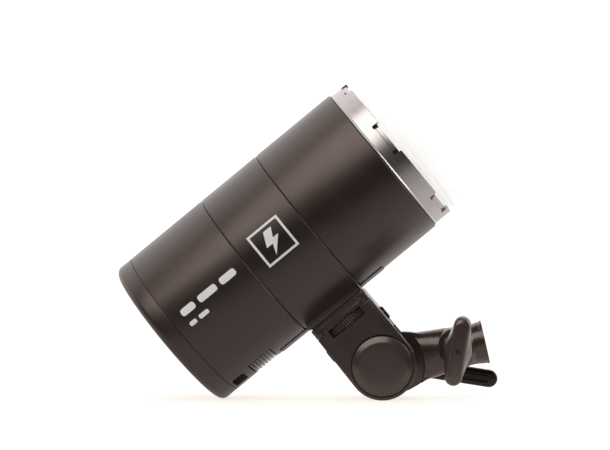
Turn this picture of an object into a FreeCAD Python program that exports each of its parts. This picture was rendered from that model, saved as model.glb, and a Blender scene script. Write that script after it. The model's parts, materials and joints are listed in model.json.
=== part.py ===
import FreeCAD, Part

import math
import os

# A battery monolight strobe on its tilting stand bracket, in millimetres.
#
# The head, the arm and the levers are each drawn in a frame of their own and then placed:
#   head  +X along the optical axis to the front, +Z up, origin on the axis over the stand hinge
#   arm   +X from the hinge out along the stand socket, origin at the hinge
#   lever +X from the hinge out to the lever's tip, origin at the hinge
# Y is the same in every frame, and the clamp handle is on the -Y side.

V = FreeCAD.Vector

# Pose of the strobe as it rests: rear rim and hinge on the table
HEAD_RISE = 39.4  # optical axis above the table, degrees
ARM_RISE = 12.7  # stand arm above the table, degrees
LEVER_DROP = 8.7  # tilt lever below the table's direction, degrees
HANDLE_LEAN = 80.0  # clamp handle's bar from the table, degrees

# Head, along its axis
BODY_R = 51.2
SHELL_WALL = 2.4
CORNER_R = 4.0
REAR_X = -89.8
CAP_SEAM_X = -77.9
BAND_REAR_X = -21.8
BAND_FRONT_X = 20.9
HOUSING_FRONT_X = 78.6
RING_FRONT_X = 91.1
RING_R = 50.0
RING_INNER_R = 47.8
DOME_R = 49.3
DOME_CENTRE_X = 97.6
SEAM_BEVEL = 0.4
SPIGOT_INNER_R = 46.6
SPIGOT_LENGTH = 4.0
FLANGE_INNER_R = 44.0

# Rear panel, sunk into the cap
WELL_R = 43.5
PANEL_X = -84.4
PANEL_WALL = 2.8
DISPLAY_Z = 13.0
DISPLAY_SIZE = (50.0, 34.0)
DIAL_Z = -21.0
DIAL_R = 12.5
BUTTON_R = 4.2
BUTTON_PLACES = {
    "power_button": (22.0, -28.0),
    "test_button": (22.0, -14.0),
    "lamp_button": (-22.0, -14.0),
    "menu_button": (-22.0, -28.0),
}
BOARD_X = -78.9
PANEL_SCREW_R = 40.3
DIAL_HEIGHT = 4.7
DIAL_LIFT = 0.3  # gap under the knob's rim
DIAL_SHAFT_R = 3.0
BUTTON_PROUD = 1.6
BUTTON_GAP = 0.3  # the cap's flange from the back of the panel

# Underside of the head
GRILLE_X = (-62.3, -45.3)
GRILLE_HALF_Y = 24.6
PORT_X = -71.6
PORT_Y = -16.75
PORT_POCKET = (8.8, 11.5)
PORT_FLOOR_Z = -44.5
LIGHT_Y = -25.4
PAD_ENDS = (-41.9, 37.7)
PAD_HALF_Y = 13.2
PAD_Z = -51.7

# Accessory ring
NOTCH_MIDDLES = (-74.0, -8.25, 59.0, 135.0, 210.0)  # degrees from the near side, down
NOTCH_SPAN = 25.5
NOTCH_DEPTH = 4.9
NOTCH_SLOT = 2.9  # degrees
STEP_DEPTH = 3.7
STEP_R = 48.9

# Bracket block under the head
BLOCK_HALF_X = 20.3
BLOCK_HALF_Y = 18.5
SADDLE_Z = -52.3
PLATE_BOTTOM_Z = -59.6
HUMP_TOP_Z = -56.1
HUMP_HALF_X = 14.7
WHEEL_Z = -62.0
WHEEL_THICKNESS = 5.0
WHEEL_R = 18.7
WINDOW_HALF_X = 12.2
SCREW_R = 4.76
SCREW_HOLE_R = 5.4
SHIM = 0.6  # the saddle's face from the plate's face
UMBRELLA_Z = -72.3
UMBRELLA_BORE_R = 3.6
UMBRELLA_TUBE_R = 4.2
PINCH_Z = -84.8
PINCH_Y = -13.0
PINCH_HEAD_R = 3.35
PINCH_SHANK_R = 2.0

# Hinge
HUB_R = 20.75
CAP_R = 18.2
TONGUE_R = 18.6
TONGUE_HALF_Y = 6.8
SLOT_HALF_Y = 7.9
BOLT_R = 5.0
RUNNING = 0.05  # radial clearance of a shaft in its hole
NECK_START_R = 25.8
CLEVIS_TOP = 19.1  # roof of the slot between the ears, over the hinge
CAP_SEAT = 1.5  # depth of the cap's recess in the near ear
BOLT_HEAD_Y = -13.5
BOLT_HEAD_R = 9.0

# Arm and stand socket
NECK_HALF = 15.2
SOCKET_R = 12.4
SOCKET_END_X = 63.7
SOCKET_FLOOR_X = 31.0
SOCKET_BORE_R = 8.1
BUSH_R = 9.6
CLAMP_X = 46.3
CLAMP_SCREW_R = 4.0
PAD_R = 4.4
PAD_HOLE_R = 4.7
TIP_R = 2.5
HANDLE_LENGTH = 42.0
HANDLE_WIDTH = 9.8
WING_HALF = 8.3  # half width of the wing's swollen middle
HANDLE_FACE_Y = -43.0
HANDLE_BASE_Y = -24.5

# Tilt lever
LEVER_LENGTH = 71.0
LEVER_WIDTH = 10.8
LEVER_Y = (21.5, 29.0)
GROOVE_DEPTH = 0.7

# Inside
CELL_R = 10.6
CELL_LENGTH = 70.0
CELL_REAR_X = -66.0
CAPACITOR_R = 13.0
CAPACITOR_LENGTH = 62.0
RAIL_PLACES = (-90.0, 30.0, 150.0)  # degrees from the near side, down
RAIL_RING_R = 42.5
RAIL_R = 2.5
FAN_R = 38.0
TUBE_RING_R = 18.0
TUBE_R = 3.2
TUBE_RING_X = 67.0
TUBE_SPAN = 320.0  # degrees of the circle that the flash tube's loop takes

NEAR, FAR = -1, 1


# Plain shapes


def round_bar(start, end, radius):
    """A cylinder from one point to another."""
    start, end = V(*start), V(*end)
    return Part.makeCylinder(radius, (end - start).Length, start, end - start)


def disc(x0, x1, radius, inner=0.0, y=0.0, z=0.0):
    """A disc or tube along X."""
    solid = round_bar((x0, y, z), (x1, y, z), radius)
    if inner:
        solid = solid.cut(round_bar((x0 - 1, y, z), (x1 + 1, y, z), inner))
    return solid


def block(x, y, z):
    """A box between the low and high value on each axis."""
    return Part.makeBox(x[1] - x[0], y[1] - y[0], z[1] - z[0], V(x[0], y[0], z[0]))


def round_edges(shape, radius, chosen):
    """The shape with a fillet on each edge whose middle the test accepts."""
    edges = [e for e in shape.Edges if chosen(e.BoundBox.Center, e)]
    return shape.makeFillet(radius, edges)


def along(axis):
    """A test for straight edges parallel to an axis."""
    sizes = {"x": "XLength", "y": "YLength", "z": "ZLength"}
    others = [name for key, name in sizes.items() if key != axis]

    def accepts(middle, edge):
        box = edge.BoundBox
        return getattr(box, sizes[axis]) > 0.1 and all(getattr(box, o) < 1e-6 for o in others)

    return accepts


def rounded_block(x, y, z, radius, axis):
    """A box with its four edges along one axis rounded."""
    return round_edges(block(x, y, z), radius, along(axis))


def outline(points, place):
    """A closed face. A point with a third entry is the middle of an arc between its neighbours."""
    corners = [(place(point[0], point[1]), len(point) > 2) for point in points]
    edges = []
    for i, (here, is_arc_middle) in enumerate(corners):
        if is_arc_middle:
            continue
        after, arc_follows = corners[(i + 1) % len(corners)]
        if arc_follows:
            end = corners[(i + 2) % len(corners)][0]
            edges.append(Part.Arc(here, after, end).toShape())
        else:
            edges.append(Part.LineSegment(here, after).toShape())
    return Part.Face(Part.Wire(edges))


def spin(points, start=0.0, span=360.0):
    """A profile of (x, radius) turned about X. Angles are from the near side, down."""
    face = outline(points, lambda x, r: V(x, -r, 0))
    face.rotate(V(0, 0, 0), V(1, 0, 0), start)
    return face.revolve(V(0, 0, 0), V(1, 0, 0), span)


def sector(x0, x1, inner, outer, start, span):
    """A piece of a tube along X."""
    return spin([(x0, inner), (x1, inner), (x1, outer), (x0, outer)], start, span)


def plate(points, y0, y1):
    """An outline of (x, z) points, thick from y0 to y1."""
    face = outline(points, lambda x, z: V(x, y0, z))
    return face.extrude(V(0, y1 - y0, 0))


def knurled(radius, depth, ridges, height):
    """A ridged wheel along +Z from the origin."""
    step = math.pi / ridges
    rim = []
    for i in range(2 * ridges):
        r = radius if i % 2 else radius - depth
        rim.append(V(r * math.cos(i * step), r * math.sin(i * step), 0))
    return Part.Face(Part.makePolygon(rim + rim[:1])).extrude(V(0, 0, height))


def around(angle, radius):
    """Y and Z at an angle from the near side, down."""
    turn = math.radians(angle)
    return -radius * math.cos(turn), -radius * math.sin(turn)


def fuse(first, *others):
    return first.fuse(list(others)).removeSplitter()


def cut(first, *others):
    return first.cut(list(others))


INNER_R = BODY_R - SHELL_WALL
SPIGOT_R = INNER_R - 0.1


# Casing


def shell_edge(x, towards):
    """The bevelled outer edge of a shell end at x, with its body on the given side."""
    return [(x, BODY_R - SEAM_BEVEL), (x + towards * SEAM_BEVEL, BODY_R)]


def rear_cap():
    cup = disc(REAR_X, CAP_SEAM_X, BODY_R)
    cup = round_edges(cup, CORNER_R, lambda middle, e: abs(middle.x - REAR_X) < 0.01)
    cup = cut(
        cup,
        disc(REAR_X - 1, PANEL_X, WELL_R),
        disc(PANEL_X + PANEL_WALL, CAP_SEAM_X + 1, INNER_R),
        disc(PANEL_X - 1, PANEL_X + 5, 3.4, z=DIAL_Z),
    )
    half_y, half_z = DISPLAY_SIZE[0] / 2, DISPLAY_SIZE[1] / 2
    seat = rounded_block(
        (PANEL_X - 1, PANEL_X + 1.2), (-half_y, half_y), (DISPLAY_Z - half_z, DISPLAY_Z + half_z), 3.0, "x"
    )
    opening = block(
        (PANEL_X - 1, PANEL_X + 5), (3 - half_y, half_y - 3), (DISPLAY_Z - half_z + 3, DISPLAY_Z + half_z - 3)
    )
    holes = [disc(PANEL_X - 1, PANEL_X + 5, BUTTON_R + 0.3, y=y, z=z) for y, z in BUTTON_PLACES.values()]
    holes += [disc(PANEL_X - 1, PANEL_X + 5, 1.5, y=y, z=z) for y, z in panel_screw_places()]
    cup = cut(cup, seat, opening, *holes)
    lip = 1.2
    cup = round_edges(
        cup, lip, lambda middle, e: abs(middle.x - REAR_X) < 0.01 and e.BoundBox.YLength < 2 * WELL_R + 0.1
    )
    bevel = spin([(CAP_SEAM_X - SEAM_BEVEL, BODY_R), (CAP_SEAM_X, BODY_R), (CAP_SEAM_X, BODY_R - SEAM_BEVEL)])
    return cut(cup, bevel)


def panel_screw_places():
    return [around(angle, PANEL_SCREW_R) for angle in (-20, 20, 160, 200)]


def rear_housing():
    tube = spin(
        [
            (CAP_SEAM_X - 3.5, SPIGOT_INNER_R),
            (CAP_SEAM_X - 3.5, SPIGOT_R),
            (CAP_SEAM_X, SPIGOT_R),
            *shell_edge(CAP_SEAM_X, 1),
            *reversed(shell_edge(BAND_REAR_X, -1)),
            (BAND_REAR_X, INNER_R),
            (CAP_SEAM_X + 6, INNER_R),
            (CAP_SEAM_X + 6, SPIGOT_INNER_R),
        ]
    )
    long_x, wide_y = PORT_POCKET
    boss = block(
        (CAP_SEAM_X + 1, PORT_X + long_x / 2 + 1),
        (PORT_Y - wide_y / 2 - 1, PORT_Y + wide_y / 2 + 1),
        (-60, PORT_FLOOR_Z + 2),
    ).common(disc(CAP_SEAM_X, BAND_REAR_X, INNER_R + 0.5))
    tube = fuse(tube, boss)
    pocket = rounded_block(
        (PORT_X - long_x / 2, PORT_X + long_x / 2),
        (PORT_Y - wide_y / 2, PORT_Y + wide_y / 2),
        (-60, PORT_FLOOR_Z),
        1.5,
        "z",
    )
    hole = rounded_block(
        (PORT_X - 1.7, PORT_X + 1.7), (PORT_Y - 4.55, PORT_Y + 4.55), (-60, -30), 1.6, "z"
    )
    vent = block(GRILLE_X, (-GRILLE_HALF_Y, GRILLE_HALF_Y), (-60, -40))
    return cut(tube, pocket, hole, vent, charge_light_bar(1.1))


def charge_light_bar(radius):
    """A round bar straight out through the shell beside the charging port."""
    z = -math.sqrt(BODY_R**2 - LIGHT_Y**2)
    inner = SPIGOT_INNER_R - 2
    start = (PORT_X, LIGHT_Y * inner / BODY_R, z * inner / BODY_R)
    return round_bar(start, (PORT_X, LIGHT_Y, z), radius)


def middle_band():
    band = spin(
        [
            (BAND_REAR_X - SPIGOT_LENGTH, SPIGOT_INNER_R),
            (BAND_REAR_X - SPIGOT_LENGTH, SPIGOT_R),
            (BAND_REAR_X, SPIGOT_R),
            *shell_edge(BAND_REAR_X, 1),
            *reversed(shell_edge(BAND_FRONT_X, -1)),
            (BAND_FRONT_X, SPIGOT_R),
            (BAND_FRONT_X + SPIGOT_LENGTH, SPIGOT_R),
            (BAND_FRONT_X + SPIGOT_LENGTH, SPIGOT_INNER_R),
        ]
    )
    saddle = rounded_block(
        (-BLOCK_HALF_X, BLOCK_HALF_X), (-BLOCK_HALF_Y, BLOCK_HALF_Y), (SADDLE_Z, -40), 2.0, "z"
    )
    saddle = saddle.cut(disc(-50, 50, BODY_R - 1))
    return cut(fuse(band, saddle), round_bar((0, 0, -60), (0, 0, -30), 8.0))


def front_housing():
    return spin(
        [
            (BAND_FRONT_X, INNER_R),
            *shell_edge(BAND_FRONT_X, 1),
            *reversed(shell_edge(HOUSING_FRONT_X, -1)),
            (HOUSING_FRONT_X, FLANGE_INNER_R),
            (HOUSING_FRONT_X - 4, FLANGE_INNER_R),
            (HOUSING_FRONT_X - 4, INNER_R),
        ]
    )


def mount_ring():
    rim = RING_R + 0.9
    ring = spin(
        [
            (HOUSING_FRONT_X, FLANGE_INNER_R),
            (HOUSING_FRONT_X, rim),
            (HOUSING_FRONT_X + 0.6, rim),
            (HOUSING_FRONT_X + 1.5, RING_R),
            (RING_FRONT_X - 0.5, RING_R),
            (RING_FRONT_X, RING_R - 0.5),
            (RING_FRONT_X, RING_INNER_R),
            (HOUSING_FRONT_X + 3.4, RING_INNER_R),
            (HOUSING_FRONT_X + 3.4, FLANGE_INNER_R),
        ]
    )
    away = []
    for middle in NOTCH_MIDDLES:
        start = middle - NOTCH_SPAN / 2
        last = middle + NOTCH_SPAN / 2 - NOTCH_SLOT
        away.append(sector(RING_FRONT_X - STEP_DEPTH, RING_FRONT_X + 1, STEP_R, RING_R + 1, start, NOTCH_SPAN))
        for slot_start in (start, last):
            slot = sector(
                RING_FRONT_X - NOTCH_DEPTH, RING_FRONT_X + 1, RING_INNER_R + 0.5, RING_R + 1, slot_start, NOTCH_SLOT
            )
            away.append(slot)
    return cut(ring, *away)


def dome_gasket():
    return disc(HOUSING_FRONT_X + 3.4, HOUSING_FRONT_X + 4.9, 47.6, FLANGE_INNER_R)


def dome():
    wall = 2.5
    neck_r = RING_INNER_R - 0.3
    foot_x = HOUSING_FRONT_X + 4.9
    shoulder_x = RING_FRONT_X + 2.2
    apex = DOME_CENTRE_X + DOME_R
    slant = math.sqrt(0.5)
    inner = DOME_R - wall
    return spin(
        [
            (foot_x, neck_r - wall),
            (foot_x, neck_r),
            (shoulder_x, neck_r),
            (shoulder_x + 1.2, DOME_R),
            (DOME_CENTRE_X, DOME_R),
            (DOME_CENTRE_X + DOME_R * slant, DOME_R * slant, "arc"),
            (apex, 0),
            (apex - wall, 0),
            (DOME_CENTRE_X + inner * slant, inner * slant, "arc"),
            (DOME_CENTRE_X, inner),
            (shoulder_x + 2.6, inner),
            (shoulder_x + 1.2, neck_r - wall),
        ]
    )


def inlet_grille():
    gap = 0.2
    x0, x1 = GRILLE_X[0] + gap, GRILLE_X[1] - gap
    half_y = GRILLE_HALF_Y - gap
    frame = disc(x0, x1, BODY_R - 0.3, SPIGOT_INNER_R).common(block((x0, x1), (-half_y, half_y), (-60, -35)))
    slats = 7
    pitch = (x1 - x0) / slats
    slots = []
    for i in range(slats - 1):
        middle = x0 + pitch * (i + 1)
        slots.append(rounded_block((middle - 0.65, middle + 0.65), (3 - half_y, half_y - 3), (-60, -35), 0.6, "z"))
    return cut(frame, *slots)


def underside_pads():
    """Two flat rubber strips that let the head rest on its underside, in front of and behind the saddle."""
    strips = []
    for x in ((PAD_ENDS[0], -BLOCK_HALF_X - 0.4), (BLOCK_HALF_X + 0.4, PAD_ENDS[1])):
        strip = rounded_block(x, (-PAD_HALF_Y, PAD_HALF_Y), (PAD_Z, -40), 1.5, "z")
        strips.append(strip.cut(disc(-60, 60, BODY_R)))
    return Part.makeCompound(strips)


def usb_port():
    low, high = PORT_FLOOR_Z - 1.2, -36.5
    shell = rounded_block((PORT_X - 1.65, PORT_X + 1.65), (PORT_Y - 4.5, PORT_Y + 4.5), (low, high), 1.6, "z")
    mouth = rounded_block((PORT_X - 1.3, PORT_X + 1.3), (PORT_Y - 4.15, PORT_Y + 4.15), (low - 1, high - 2), 1.25, "z")
    tongue = block((PORT_X - 0.35, PORT_X + 0.35), (PORT_Y - 3.3, PORT_Y + 3.3), (low + 0.6, high - 1.5))
    return fuse(shell.cut(mouth), tongue)


# Rear panel


def display_window():
    gap = 0.1
    half_y, half_z = DISPLAY_SIZE[0] / 2 - gap, DISPLAY_SIZE[1] / 2 - gap
    return rounded_block(
        (PANEL_X, PANEL_X + 1.2), (-half_y, half_y), (DISPLAY_Z - half_z, DISPLAY_Z + half_z), 2.9, "x"
    )


def display_module():
    half_y, half_z = DISPLAY_SIZE[0] / 2 - 3.2, DISPLAY_SIZE[1] / 2 - 3.2
    return block((PANEL_X + 1.2, BOARD_X), (-half_y, half_y), (DISPLAY_Z - half_z, DISPLAY_Z + half_z))


def control_board():
    board = disc(BOARD_X, BOARD_X + 1.6, 45.0)
    socket = block((BOARD_X + 1.6, BOARD_X + 5.6), (-9, 9), (-12, -5))
    return fuse(board, socket)


def dial_encoder():
    body = block((BOARD_X - 2.4, BOARD_X), (-6, 6), (DIAL_Z - 6, DIAL_Z + 6))
    return body.cut(disc(BOARD_X - 3, BOARD_X - 0.3, DIAL_SHAFT_R + RUNNING, z=DIAL_Z))


def dial_knob():
    rim = knurled(DIAL_R, 0.5, 48, DIAL_HEIGHT)
    rim.rotate(V(0, 0, 0), V(0, 1, 0), -90)
    rim.translate(V(PANEL_X - DIAL_LIFT, 0, DIAL_Z))
    top = PANEL_X - DIAL_LIFT - DIAL_HEIGHT
    dish = Part.makeSphere(30, V(top - 29.2, 0, DIAL_Z))
    guide = round_bar((top - 2, 0, DIAL_Z), (top + 1.4, 0, DIAL_Z), DIAL_R)
    cone = Part.makeCone(DIAL_R - 1.2, DIAL_R + 5.0, 6.2, V(top, 0, DIAL_Z), V(1, 0, 0))
    shaft = disc(top + 2, BOARD_X - 0.5, DIAL_SHAFT_R, z=DIAL_Z)
    return fuse(rim.common(cone).cut(dish.common(guide)), shaft)


def panel_button(y, z):
    face = PANEL_X - BUTTON_PROUD
    shoulder = PANEL_X + PANEL_WALL + BUTTON_GAP
    cap = disc(face, shoulder, BUTTON_R, y=y, z=z)
    cap = round_edges(cap, 0.6, lambda middle, e: abs(middle.x - face) < 0.01)
    flange = disc(shoulder, BOARD_X - 1.3, BUTTON_R + 1.1, y=y, z=z)
    return fuse(cap, flange)


def panel_screws():
    screws = []
    for y, z in panel_screw_places():
        head = disc(PANEL_X - 1.6, PANEL_X, 2.8, y=y, z=z)
        head = round_edges(head, 0.7, lambda middle, e: middle.x < PANEL_X - 1)
        hexagon = Part.makePolygon([V(PANEL_X - 2, y + 1.2 * math.cos(a), z + 1.2 * math.sin(a)) for a in hex_turns()])
        socket = Part.Face(hexagon).extrude(V(1.3, 0, 0))
        screws.append(cut(fuse(head, disc(PANEL_X, BOARD_X - 0.1, 1.5, y=y, z=z)), socket))
    return Part.makeCompound(screws)


def hex_turns():
    return [math.radians(60 * i) for i in range(7)]


# Works inside the head


def chassis():
    rear = disc(-69.0, CELL_REAR_X, 45.5)
    middle = disc(CELL_REAR_X + CELL_LENGTH + 0.6, 7.0, 43.6, 30.0)
    front = disc(44.0, 46.5, 45.5, 26.4)
    rails = []
    for angle in RAIL_PLACES:
        y, z = around(angle, RAIL_RING_R)
        rails.append(disc(-68, 45, RAIL_R, y=y, z=z))
    wiring_gap = block((-70, -60), (-30, 30), (-47, -38))
    return cut(fuse(rear, middle, front, *rails), wiring_gap)


def battery_cells():
    cells = []
    for y in (-10.9, 10.9):
        for z in (0.0, 22.0):
            can = disc(CELL_REAR_X, CELL_REAR_X + CELL_LENGTH - 0.8, CELL_R, y=y, z=z)
            button = disc(CELL_REAR_X + CELL_LENGTH - 0.8, CELL_REAR_X + CELL_LENGTH, 5.0, y=y, z=z)
            cells.append(fuse(can, button))
    return Part.makeCompound(cells)


def cell_cradle():
    return block((-64, 2), (-22.5, 22.5), (-13.4, -11.2))


def capacitors():
    cans = []
    for y in (-15.0, 15.0):
        can = disc(CELL_REAR_X + 2, CELL_REAR_X + 2 + CAPACITOR_LENGTH, CAPACITOR_R, y=y, z=-27.0)
        cans.append(round_edges(can, 1.5, lambda middle, e: e.Length > 60))
    return Part.makeCompound(cans)


def side_board(side):
    """An upright circuit board beside the cells, with its wound parts and heat spreader."""
    y = 30.0 * side
    board = block((-64, 0), sorted((y, y + 1.6 * side)), (-17, 23))
    outer = y + 1.6 * side
    parts = [
        block((-56, -38), sorted((outer, outer + 7 * side)), (-8, 10)),
        block((-30, -12), sorted((outer, outer + 5 * side)), (-10, 14)),
        round_bar((-34, outer, -12), (-34, outer + 6 * side, -12), 2.5),
    ]
    return fuse(board, *parts)


def power_board():
    return side_board(FAR)


def trigger_board():
    return side_board(NEAR)


def fan_frame():
    frame = disc(8.0, 23.0, FAN_R, FAN_R - 3.6)
    hub = disc(8.0, 12.0, 12.0)
    arms = [block((8.0, 10.5), (-FAN_R + 2, FAN_R - 2), (-1.5, 1.5))]
    arms.append(block((8.0, 10.5), (-1.5, 1.5), (-FAN_R + 2, FAN_R - 2)))
    spider = fuse(hub, *arms).cut(disc(7, 13, 2.0 + RUNNING))
    return fuse(frame, spider)


def fan_rotor():
    hub = disc(12.4, 21.0, 12.0)
    shaft = disc(8.6, 13.0, 2.0)
    blades = []
    for i in range(7):
        blade = block((12.9, 20.7), (-0.7, 0.7), (11, 34))
        blade.rotate(V(16.8, 0, 0), V(0, 0, 1), 38)
        blade.rotate(V(0, 0, 0), V(1, 0, 0), 360 / 7 * i)
        blades.append(blade)
    sweep = disc(12.4, 21.4, FAN_R - 4.4)
    return fuse(hub, shaft, *[blade.common(sweep) for blade in blades])


def heat_sink():
    base = disc(40.0, 44.0, 38.5)
    fins = [block((28.0, 41.0), (y - 0.8, y + 0.8), (-40, 40)) for y in range(-30, 31, 6)]
    return fuse(base, *[fin.common(disc(28, 41, 37.0)) for fin in fins])


def tube_socket():
    base = disc(44.0, 50.0, 26.0)
    post = disc(49.0, 55.0, 9.0)
    holes = []
    for angle in tube_leg_angles():
        y, z = around(angle, TUBE_RING_R)
        holes.append(disc(46, 51, TUBE_R + 0.1, y=y, z=z))
    return cut(fuse(base, post), *holes)


def tube_leg_angles():
    return 110.0, 110.0 + TUBE_SPAN


def flash_tube():
    start = tube_leg_angles()[0]
    section = Part.Face(Part.Wire(Part.makeCircle(TUBE_R, V(TUBE_RING_X, -TUBE_RING_R, 0), V(0, 0, 1))))
    section.rotate(V(0, 0, 0), V(1, 0, 0), start)
    loop = section.revolve(V(0, 0, 0), V(1, 0, 0), TUBE_SPAN)
    legs = []
    for angle in tube_leg_angles():
        y, z = around(angle, TUBE_RING_R)
        legs.append(Part.makeSphere(TUBE_R, V(TUBE_RING_X, y, z)))
        legs.append(disc(46.2, TUBE_RING_X, TUBE_R, y=y, z=z))
    return loop.fuse(legs)


def lamp_board():
    board = disc(55.0, 56.6, 12.5)
    chips = []
    for count, radius in ((4, 4.0), (9, 9.2)):
        for i in range(count):
            y, z = around(360 / count * i, radius)
            chips.append(disc(56.0, 57.4, 1.5, y=y, z=z))
    return fuse(board, *chips)


def reflector():
    return spin(
        [
            (52.0, 24.0),
            (52.0, 27.0),
            (62.0, 36.9, "arc"),
            (77.0, 43.8),
            (82.0, 43.8),
            (82.0, 42.8),
            (77.6, 42.8),
            (62.6, 36.0, "arc"),
            (53.0, 26.4),
            (53.0, 24.0),
        ]
    )


# Bracket under the head


def threaded_insert():
    sleeve = round_bar((0, 0, SADDLE_Z), (0, 0, -44.0), 8.0)
    return sleeve.cut(round_bar((0, 0, -60), (0, 0, -40), SCREW_R + RUNNING))


def mount_plate():
    body = rounded_block(
        (-BLOCK_HALF_X, BLOCK_HALF_X), (-BLOCK_HALF_Y, BLOCK_HALF_Y), (PLATE_BOTTOM_Z + 0.1, SADDLE_Z - SHIM), 2.0, "z"
    )
    arch = rounded_block((-HUMP_HALF_X - 0.2, HUMP_HALF_X + 0.2), (-30, 30), (-70, HUMP_TOP_Z + 0.2), 2.4, "y")
    body = cut(body, arch, round_bar((0, 0, -70), (0, 0, -50), SCREW_HOLE_R))
    spacer = disc_up(SADDLE_Z - SHIM, SADDLE_Z, 12.0, SCREW_HOLE_R)
    return fuse(body, spacer)


def disc_up(z0, z1, radius, inner=0.0):
    """A disc or tube along Z."""
    solid = round_bar((0, 0, z0), (0, 0, z1), radius)
    if inner:
        solid = solid.cut(round_bar((0, 0, z0 - 1), (0, 0, z1 + 1), inner))
    return solid


def stand_block():
    hub_z = -HUB_DROP
    body = rounded_block((-BLOCK_HALF_X, BLOCK_HALF_X), (-BLOCK_HALF_Y, BLOCK_HALF_Y), (hub_z, PLATE_BOTTOM_Z), 2.0, "z")
    hump = rounded_block((-HUMP_HALF_X, HUMP_HALF_X), (-BLOCK_HALF_Y, BLOCK_HALF_Y), (-66, HUMP_TOP_Z), 2.2, "y")
    hub = round_bar((0, -BLOCK_HALF_Y, hub_z), (0, BLOCK_HALF_Y, hub_z), HUB_R)
    body = fuse(body, hump, hub)
    gap = 0.25
    low, high = WHEEL_Z - WHEEL_THICKNESS / 2 - gap, WHEEL_Z + WHEEL_THICKNESS / 2 + gap
    window = block((-WINDOW_HALF_X, WINDOW_HALF_X), (-30, 30), (low, high))
    return cut(
        body,
        window,
        disc_up(low, high, WHEEL_R + 0.3),
        round_bar((0, 0, high - 1), (0, 0, -50), SCREW_HOLE_R),
        disc(-40, 40, UMBRELLA_TUBE_R, z=UMBRELLA_Z),
        block((-40, 40), (-SLOT_HALF_Y, SLOT_HALF_Y), (hub_z - 40, hub_z + CLEVIS_TOP)),
        round_bar((0, -30, hub_z), (0, 30, hub_z), BOLT_R),
        round_bar((0, -BLOCK_HALF_Y - 1, hub_z), (0, -BLOCK_HALF_Y + CAP_SEAT, hub_z), CAP_R + 0.4),
        round_bar((0, -BLOCK_HALF_Y, hub_z), (0, BOLT_HEAD_Y, hub_z), BOLT_HEAD_R + 0.2),
        disc(BLOCK_HALF_X - 4, BLOCK_HALF_X + 1, PINCH_SHANK_R, y=PINCH_Y, z=PINCH_Z),
    )


def thumbwheel():
    wheel = knurled(WHEEL_R, 0.75, 76, WHEEL_THICKNESS)
    wheel.translate(V(0, 0, WHEEL_Z - WHEEL_THICKNESS / 2))
    rounding = disc_up(WHEEL_Z - WHEEL_THICKNESS / 2, WHEEL_Z + WHEEL_THICKNESS / 2, WHEEL_R)
    rounding = rounding.makeChamfer(0.5, [e for e in rounding.Edges if e.Length > 50 and e.BoundBox.ZLength < 0.01])
    return wheel.common(rounding)


def mounting_screw():
    top = WHEEL_Z + WHEEL_THICKNESS / 2
    screw = round_bar((0, 0, top), (0, 0, -45.0), SCREW_R)
    screw = screw.makeChamfer(0.8, [e for e in screw.Edges if abs(e.BoundBox.Center.z + 45) < 0.1])
    return screw


def umbrella_tube():
    tube = disc(-BLOCK_HALF_X, BLOCK_HALF_X, UMBRELLA_TUBE_R, z=UMBRELLA_Z)
    rims = []
    for side in (-1, 1):
        x = BLOCK_HALF_X * side
        rims.append(disc(*sorted((x, x + 0.8 * side)), 4.9, z=UMBRELLA_Z))
        rims.append(disc(*sorted((x, x + 1.7 * side)), UMBRELLA_TUBE_R, z=UMBRELLA_Z))
    return cut(fuse(tube, *rims), disc(-40, 40, UMBRELLA_BORE_R, z=UMBRELLA_Z))


def pinch_screw():
    x = BLOCK_HALF_X
    head = disc(x, x + 1.4, PINCH_HEAD_R, y=PINCH_Y, z=PINCH_Z)
    head = round_edges(head, 0.5, lambda middle, e: middle.x > x + 1)
    shank = disc(x - 3.8, x, PINCH_SHANK_R, y=PINCH_Y, z=PINCH_Z)
    blade = block((x + 0.7, x + 2), (PINCH_Y - 0.4, PINCH_Y + 0.4), (PINCH_Z - 2.6, PINCH_Z + 2.6))
    return fuse(head, shank).cut(blade)


# Hinge


def hub_bar(y0, y1, radius, inner=0.0):
    """A disc or tube along Y about the hinge, in the head's frame."""
    solid = round_bar((0, y0, -HUB_DROP), (0, y1, -HUB_DROP), radius)
    if inner:
        solid = solid.cut(round_bar((0, y0 - 1, -HUB_DROP), (0, y1 + 1, -HUB_DROP), inner))
    return solid


def hinge_cap():
    face = -BLOCK_HALF_Y - 3.0
    cap = hub_bar(face, -BLOCK_HALF_Y + CAP_SEAT, CAP_R)
    return round_edges(cap, 2.6, lambda middle, e: abs(middle.y - face) < 0.01)


def hinge_bolt():
    head = hub_bar(-BLOCK_HALF_Y + CAP_SEAT, BOLT_HEAD_Y, BOLT_HEAD_R)
    return fuse(head, hub_bar(BOLT_HEAD_Y - 0.1, LEVER_Y[1] + 0.3, BOLT_R))


def hinge_nut():
    nut = hub_bar(LEVER_Y[1] + 0.3, LEVER_Y[1] + 3.0, 8.0)
    return round_edges(nut, 1.0, lambda middle, e: middle.y > LEVER_Y[1] + 2.5)


def friction_discs():
    discs = [hub_bar(*sorted((side * 7.0, side * SLOT_HALF_Y)), 16.0, BOLT_R) for side in (NEAR, FAR)]
    return Part.makeCompound(discs)


# Arm frame


def neck_profile():
    return [
        (14.0, 0),
        (14.0, NECK_HALF + 1.2),
        (20.0, NECK_HALF),
        (30.0, 14.0, "arc"),
        (41.0, 13.7),
        (49.0, 13.2, "arc"),
        (55.0, SOCKET_R),
        (SOCKET_END_X - 0.8, SOCKET_R),
        (SOCKET_END_X, SOCKET_R - 0.8),
        (SOCKET_END_X, 0),
    ]


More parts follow.
